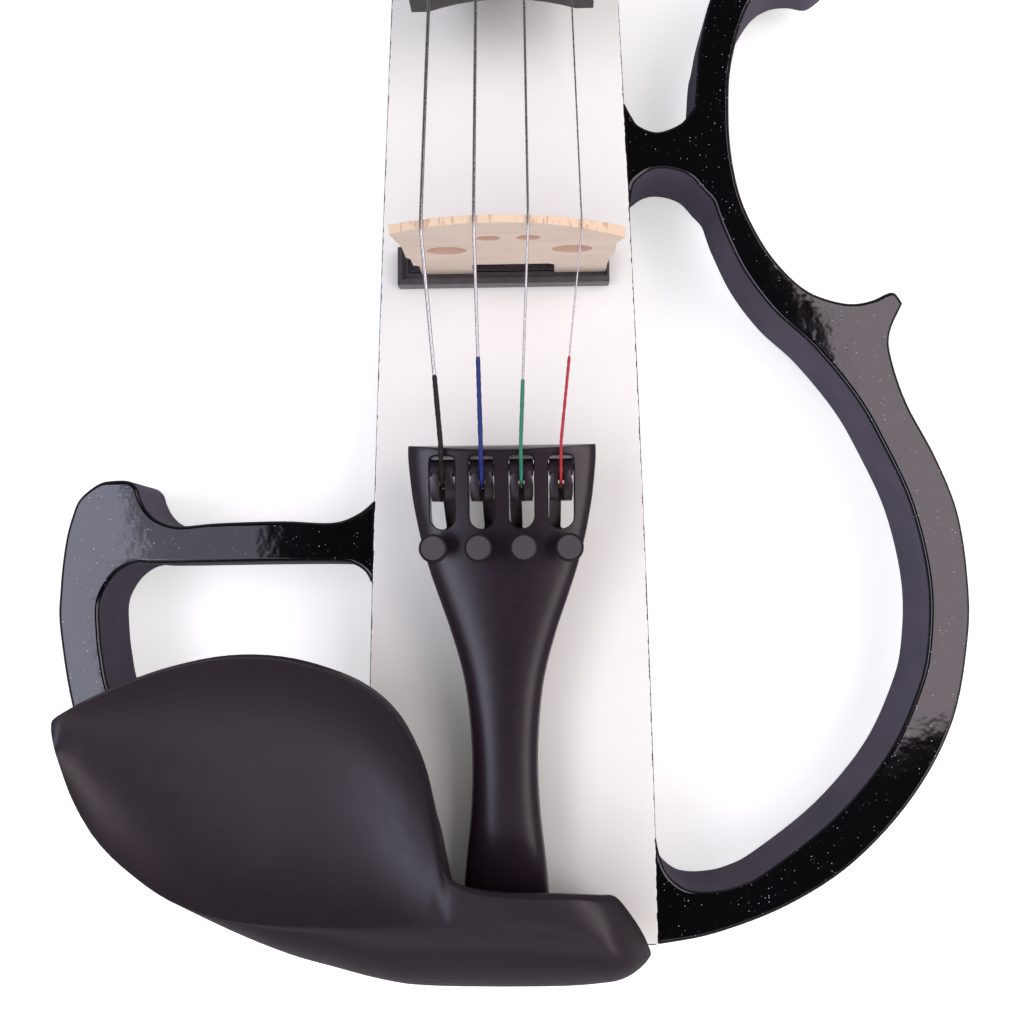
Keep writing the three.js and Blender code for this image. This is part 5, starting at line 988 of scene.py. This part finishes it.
random.seed(4)
for place, (silk_name, silk_colour, silk_start) in enumerate(SILKS):
    name = STRINGS[place][0]
    route, radius = string_route(place)
    bends = eased(route[:10], 1.2 * MM)
    wire_points = bends + [Vector(point) for point in route[10:]]
    wire_mesh = tube_mesh(f"string_{name}", wire_points, lambda spot: radius)
    wire = piece_from(f"string_{name}_wire", wire_mesh, string_steel)
    ball_spot = Vector(route[0]) + Vector((0, 0, -1.0 * MM))
    ball = piece_from(
        f"string_{name}_ball", bar_mesh("x", 1.3 * MM, -1.5 * MM, 1.5 * MM, ball_spot), brass,
    )
    soften(ball, 0.3 * MM, 3)
    shade(wire, 50)
    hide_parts(f"string_{name}")
    silk_run = [point for point in bends if point.y < silk_start * MM]
    bridge_end = Vector(route[5])
    tail_end = Vector(route[4])
    share = (silk_start * MM - tail_end.y) / (bridge_end.y - tail_end.y)
    silk_top = tail_end.lerp(bridge_end, share)
    silk_run = [point for point in silk_run[1:] if point.y <= tail_end.y + 0.1 * MM] + [silk_top]
    fine = []
    for start, end in zip(silk_run, silk_run[1:]):
        steps = max(int((end - start).length / (0.45 * MM)), 1)
        fine += [start.lerp(end, step / steps) for step in range(steps)]
    fine.append(silk_run[-1])
    swell = [radius + (0.11 + 0.09 * random.random()) * MM for spot in fine]
    swell[-1] = radius + 0.02 * MM
    wrap = piece_from(
        f"silk_{silk_name}", tube_mesh(f"silk_{silk_name}", fine, lambda spot: swell[spot]),
        silk_finish(silk_name, silk_colour),
    )
    shade(wrap, 60)
    for made in (wire, ball, wrap):
        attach(made, "violin")

# The tail gut is a smooth dark cord, held by two brass nuts in the tailpiece.
# It lies under the chin rest, over the saddle and round the button.
gut = plastic_finish("dark_gut", (0.014, 0.012, 0.013, 1), 0.32, 0.01)
cover(nodes["tail_gut"], gut)
dress(brass, 0.15 * MM, "gut_nut_bass", "gut_nut_treble")

# The chin rest is carved from dark wood: a dished cup on the bass side runs into a hump over the tailpiece.
# It was rubbed smooth and waxed. Its two feet stand on cork.
# Its skin hangs on guide lines from the bass tip to the treble end, as (x, y, rise over the body) in mm.
TAIL_EDGE_LINE = (
    (-93.5, -105.2, 31), (-92.9, -107.2, 30.4), (-91.8, -110.2, 30), (-88.2, -119.2, 28.5),
    (-83.2, -127.6, 27), (-76, -134.8, 25), (-68, -141.2, 23.2), (-57, -148.2, 21), (-46, -153.6, 18.5),
    (-36, -157.2, 15.5), (-28, -159.7, 13), (-18, -161.6, 10.5), (-4, -162.3, 9.2), (12, -162.1, 9),
    (22, -161.1, 9), (27, -159.6, 8.8), (29.8, -158, 8.6), (30.8, -157, 8.5),
)
TAIL_LIP_LINE = (
    (-93.5, -105, 31.8), (-92.9, -106.9, 32.3), (-91.8, -109.8, 32.8), (-88.2, -118.7, 32.8),
    (-83.2, -126.8, 32.5), (-76, -133.6, 32.2), (-68, -138.9, 31.9), (-57, -142.9, 31.4),
    (-46, -144.4, 31), (-36, -144.9, 30.5), (-28, -145.1, 30), (-18, -145.1, 29.3), (-4, -144.9, 28.7),
    (9, -146, 28.4), (19, -148.5, 27.8), (22.5, -151, 26.8), (26, -153.3, 23.8), (29, -155.2, 17.6),
    (30.8, -156.2, 11.5),
)
FRONT_LIP_LINE = (
    (-93.5, -103.4, 31.9), (-92.9, -102.6, 32.5), (-91, -101.4, 33.2), (-86.5, -98.9, 33.7),
    (-78, -95.2, 33.8), (-68, -91.9, 33.8), (-57, -90, 33.8), (-46, -90.3, 33.8),
    (-36, -92.9, 33.4), (-28, -96.7, 33), (-22, -102.2, 32.5), (-18, -109.2, 31.6), (-15.6, -117.3, 30.5),
    (-14, -127.6, 29.5), (-12.8, -134.4, 29), (-11, -136.8, 28.8),
    (-7, -138.3, 28.6), (1, -139.3, 28.5), (9, -139.5, 28.3), (15, -139.8, 27.8), (19, -140.6, 26.4),
    (22.5, -142.2, 24.2), (26, -146.8, 20.8), (29, -152.1, 15.8), (30.8, -156.1, 11.5),
)
FRONT_EDGE_LINE = (
    (-93.5, -103.1, 31.2), (-92.9, -102.2, 31.1), (-91, -101, 31.2), (-86.5, -98.6, 31),
    (-78, -94.8, 31), (-68, -91.6, 31), (-57, -89.6, 31), (-46, -89.9, 31),
    (-36, -92.4, 30.5), (-28, -96.1, 30), (-22, -101.6, 29.5), (-18, -108.7, 29), (-15.6, -116.1, 28.5),
    (-14, -126.6, 27.8), (-12.8, -133.5, 28), (-11, -135.9, 27.7),
    (-7, -137.4, 27.5), (1, -138.4, 27.4), (9, -138.5, 27.2), (15, -138.8, 26.8), (19, -139.4, 25.2),
    (22.5, -140.4, 23), (26, -145.2, 19.4), (29, -150.8, 14.6), (30.8, -155.4, 10.8),
)
# The underside: x, its inset from the tail edge and the front edge as shares of the width, and its rise.
UNDERSIDE_LINE = (
    (-93.5, 0.3, 0.3, 30), (-92.9, 0.22, 0.22, 28.6), (-91, 0.25, 0.25, 26.2),
    (-86.5, 0.28, 0.3, 22.4), (-78, 0.28, 0.3, 18.5), (-68, 0.28, 0.3, 15.8), (-57, 0.26, 0.3, 14),
    (-46, 0.22, 0.3, 12), (-36, 0.14, 0.3, 9.5), (-28, 0.06, 0.3, 7.5), (-22, 0.04, 0.3, 7),
    (10, 0.03, 0.27, 7), (29, 0.06, 0.3, 7), (30.8, 0.1, 0.3, 7.1),
)
# The hollow between the two lips: x and its depth; then how round the slope outside the tail lip is.
DISH_LINE = (
    (-93.5, 0, 0), (-92.9, 0.15, 0), (-91, 0.8, 0), (-86.5, 3, 0), (-78, 5.6, 0.1), (-68, 7.2, 0.3),
    (-57, 8, 0.45), (-46, 8.2, 0.6), (-36, 7.8, 0.75), (-28, 6.8, 0.9), (-22, 5.2, 1), (-18, 3.5, 1),
    (-15.6, 2.2, 1), (-14, 1.3, 1), (-12.8, 0.7, 1), (-11, 0.2, 1), (-7, 0, 1), (1, -0.3, 1),
    (22.5, -0.4, 0.9), (30.8, 0, 0.4),
)
SLOPE_STEPS = 12
DISH_STEPS = 26
DISH_SQUARENESS = 2.4
RINGS_PER_SPAN = 4
CHIN_EDGE_ROUND = 0.6 * MM
TUNNEL_END = -154 * MM
TUNNEL_HALF = 11.6 * MM
TUNNEL_WALL = 11.8 * MM
TUNNEL_ARCH = 5.8 * MM
FEET = ((-31 * MM, -12.2 * MM), (12.2 * MM, 25 * MM))
FOOT_TAIL = -157.5 * MM
FOOT_FRONT = -149.5 * MM
CORK_TOP = BODY_TOP + 1.9 * MM
FOOT_TOP = BODY_TOP + 13.6 * MM
STUD_BORE = 1.6 * MM
STUD_TOP = BODY_TOP + 10.7 * MM
CLAMP_SPOTS = ((-17.5 * MM, -161.1 * MM, 0), (17.5 * MM, -161.1 * MM, 0))


def blend(near, far, share):
    return near + (far - near) * share


def read_line(line, x):
    """The values of a guide line at x, on a smooth curve through its points."""
    place = max([spot for spot in range(len(line) - 1) if line[spot][0] <= x], default=0)
    before, start = line[max(place - 1, 0)], line[place]
    end, after = line[place + 1], line[min(place + 2, len(line) - 1)]
    span = end[0] - start[0]
    t = (x - start[0]) / span
    values = []
    for a, b, c, d in zip(before[1:], start[1:], end[1:], after[1:]):
        rise_in = (c - a) / (end[0] - before[0]) * span
        rise_out = (d - b) / (after[0] - start[0]) * span
        values.append(
            b * (1 + 2 * t) * (1 - t) ** 2 + rise_in * t * (1 - t) ** 2
            + c * t * t * (3 - 2 * t) + rise_out * t * t * (t - 1)
        )
    return values


def chin_ring(x):
    tail, lip = read_line(TAIL_EDGE_LINE, x), read_line(TAIL_LIP_LINE, x)
    front, edge = read_line(FRONT_LIP_LINE, x), read_line(FRONT_EDGE_LINE, x)
    tail_inset, front_inset, under = read_line(UNDERSIDE_LINE, x)
    dish, roundness = read_line(DISH_LINE, x)
    front_y = blend(edge[0], tail[0], front_inset)
    marks = [(blend(tail[0], edge[0], tail_inset), under), tail]
    for step in range(1, SLOPE_STEPS + 1):
        share = step / SLOPE_STEPS
        turn = share * math.pi / 2
        out = blend(share, 1 - math.cos(turn), roundness)
        up = blend(share, math.sin(turn), roundness)
        marks.append((blend(tail[0], lip[0], out), blend(tail[1], lip[1], up)))
    for step in range(1, DISH_STEPS):
        share = step / DISH_STEPS
        depth = dish * (1 - abs(2 * share - 1) ** DISH_SQUARENESS)
        marks.append((blend(lip[0], front[0], share), blend(lip[1], front[1], share) - depth))
    marks += [front, edge, (blend(edge[0], front_y, 0.65), blend(edge[1], under, 0.6)), (front_y, under)]
    return [(x * MM, y * MM, BODY_TOP + rise * MM) for y, rise in marks]


cup_wood, tree, shader = new_finish("waxed_chin_rest", 0.42, Specular_IOR_Level=0.5)
depth_of_tone = ramp(tree, object_noise(tree, 60, 3, (0.3, 1.0, 1.0)), 0.3, 0.7)
stain = mix_colours(tree, depth_of_tone, (0.0150, 0.0068, 0.0130, 1), (0.0185, 0.0090, 0.0165, 1))
tree.links.new(stain, shader.inputs["Base Color"])
tree.links.new(ramp(tree, object_noise(tree, 300, 3), 0.3, 0.7, 0.39, 0.45), shader.inputs["Roughness"])
add_bump(tree, shader, object_noise(tree, 1500, 2), 0.02 * MM, 0.25)

chin_stations = []
for start, end in zip(FRONT_LIP_LINE, FRONT_LIP_LINE[1:]):
    chin_stations += [blend(start[0], end[0], step / RINGS_PER_SPAN) for step in range(RINGS_PER_SPAN)]
chin_stations.append(FRONT_LIP_LINE[-1][0])
chin_rings = [eased(chin_ring(x), CHIN_EDGE_ROUND) for x in chin_stations]
chin_rest = piece_from("chin_rest_carved", closed_mesh("chin_rest_carved", chin_rings), cup_wood)
for left, right in FEET:
    foot = box_mesh((left, FOOT_TAIL, CORK_TOP), (right, FOOT_FRONT, FOOT_TOP))
    cut_by(chin_rest, foot, "UNION")
tunnel = [(-TUNNEL_HALF, 0), (TUNNEL_HALF, 0)]
for step in range(17):
    angle = math.pi * step / 16
    level = BODY_TOP + TUNNEL_WALL + TUNNEL_ARCH * math.sin(angle)
    tunnel.append((TUNNEL_HALF * math.cos(angle), level))
cut_by(chin_rest, closed_mesh("tunnel", [[(x, y, z) for x, z in tunnel] for y in (-80 * MM, TUNNEL_END)]))
for stud_spot in CLAMP_SPOTS:
    cut_by(chin_rest, bar_mesh("z", STUD_BORE, 0, STUD_TOP, stud_spot))
shade(chin_rest, 40)
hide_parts("chin_rest")
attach(chin_rest, "violin")

# Cork pads, plated clamp hardware and the end of the clamp's foot hold the chin rest on the body.
# Each barrel has opposite threads at its two ends, so turning it draws the foot up.
cork, tree, shader = new_finish("pressed_cork", 0.9)
place = add_node(tree, "ShaderNodeTexCoord").outputs["Object"]
crumbs = add_node(tree, "ShaderNodeTexVoronoi", {"Vector": place, "Scale": 1400.0}).outputs["Distance"]
browns = mix_colours(tree, ramp(tree, crumbs, 0.2, 0.7), (0.50, 0.30, 0.15, 1), (0.24, 0.12, 0.05, 1))
tree.links.new(browns, shader.inputs["Base Color"])
add_bump(tree, shader, crumbs, 0.1 * MM, 0.5)
for name in ("chin_rest_cork_bass", "chin_rest_cork_treble", "clamp_foot_cork"):
    cover(nodes[name], cork)
dress(nickel, 0.2 * MM, "clamp_stud_bass", "clamp_stud_treble", "clamp_barrel_bass", "clamp_barrel_treble")
dress(nickel, 0.2 * MM, "clamp_foot", "headphone_jack", "output_jack")

# The battery lies in its bay in the back, and the preamp board stands behind the control plate.
# The battery shows when its cover swings down; the board stays hidden.
sleeve = plastic_finish("battery_sleeve", (0.06, 0.065, 0.075, 1), 0.35)
dress(sleeve, 0.8 * MM, "battery", segments=3)
board = plastic_finish("circuit_board", (0.012, 0.10, 0.05, 1), 0.4)
cover(nodes["preamp_board"], board)
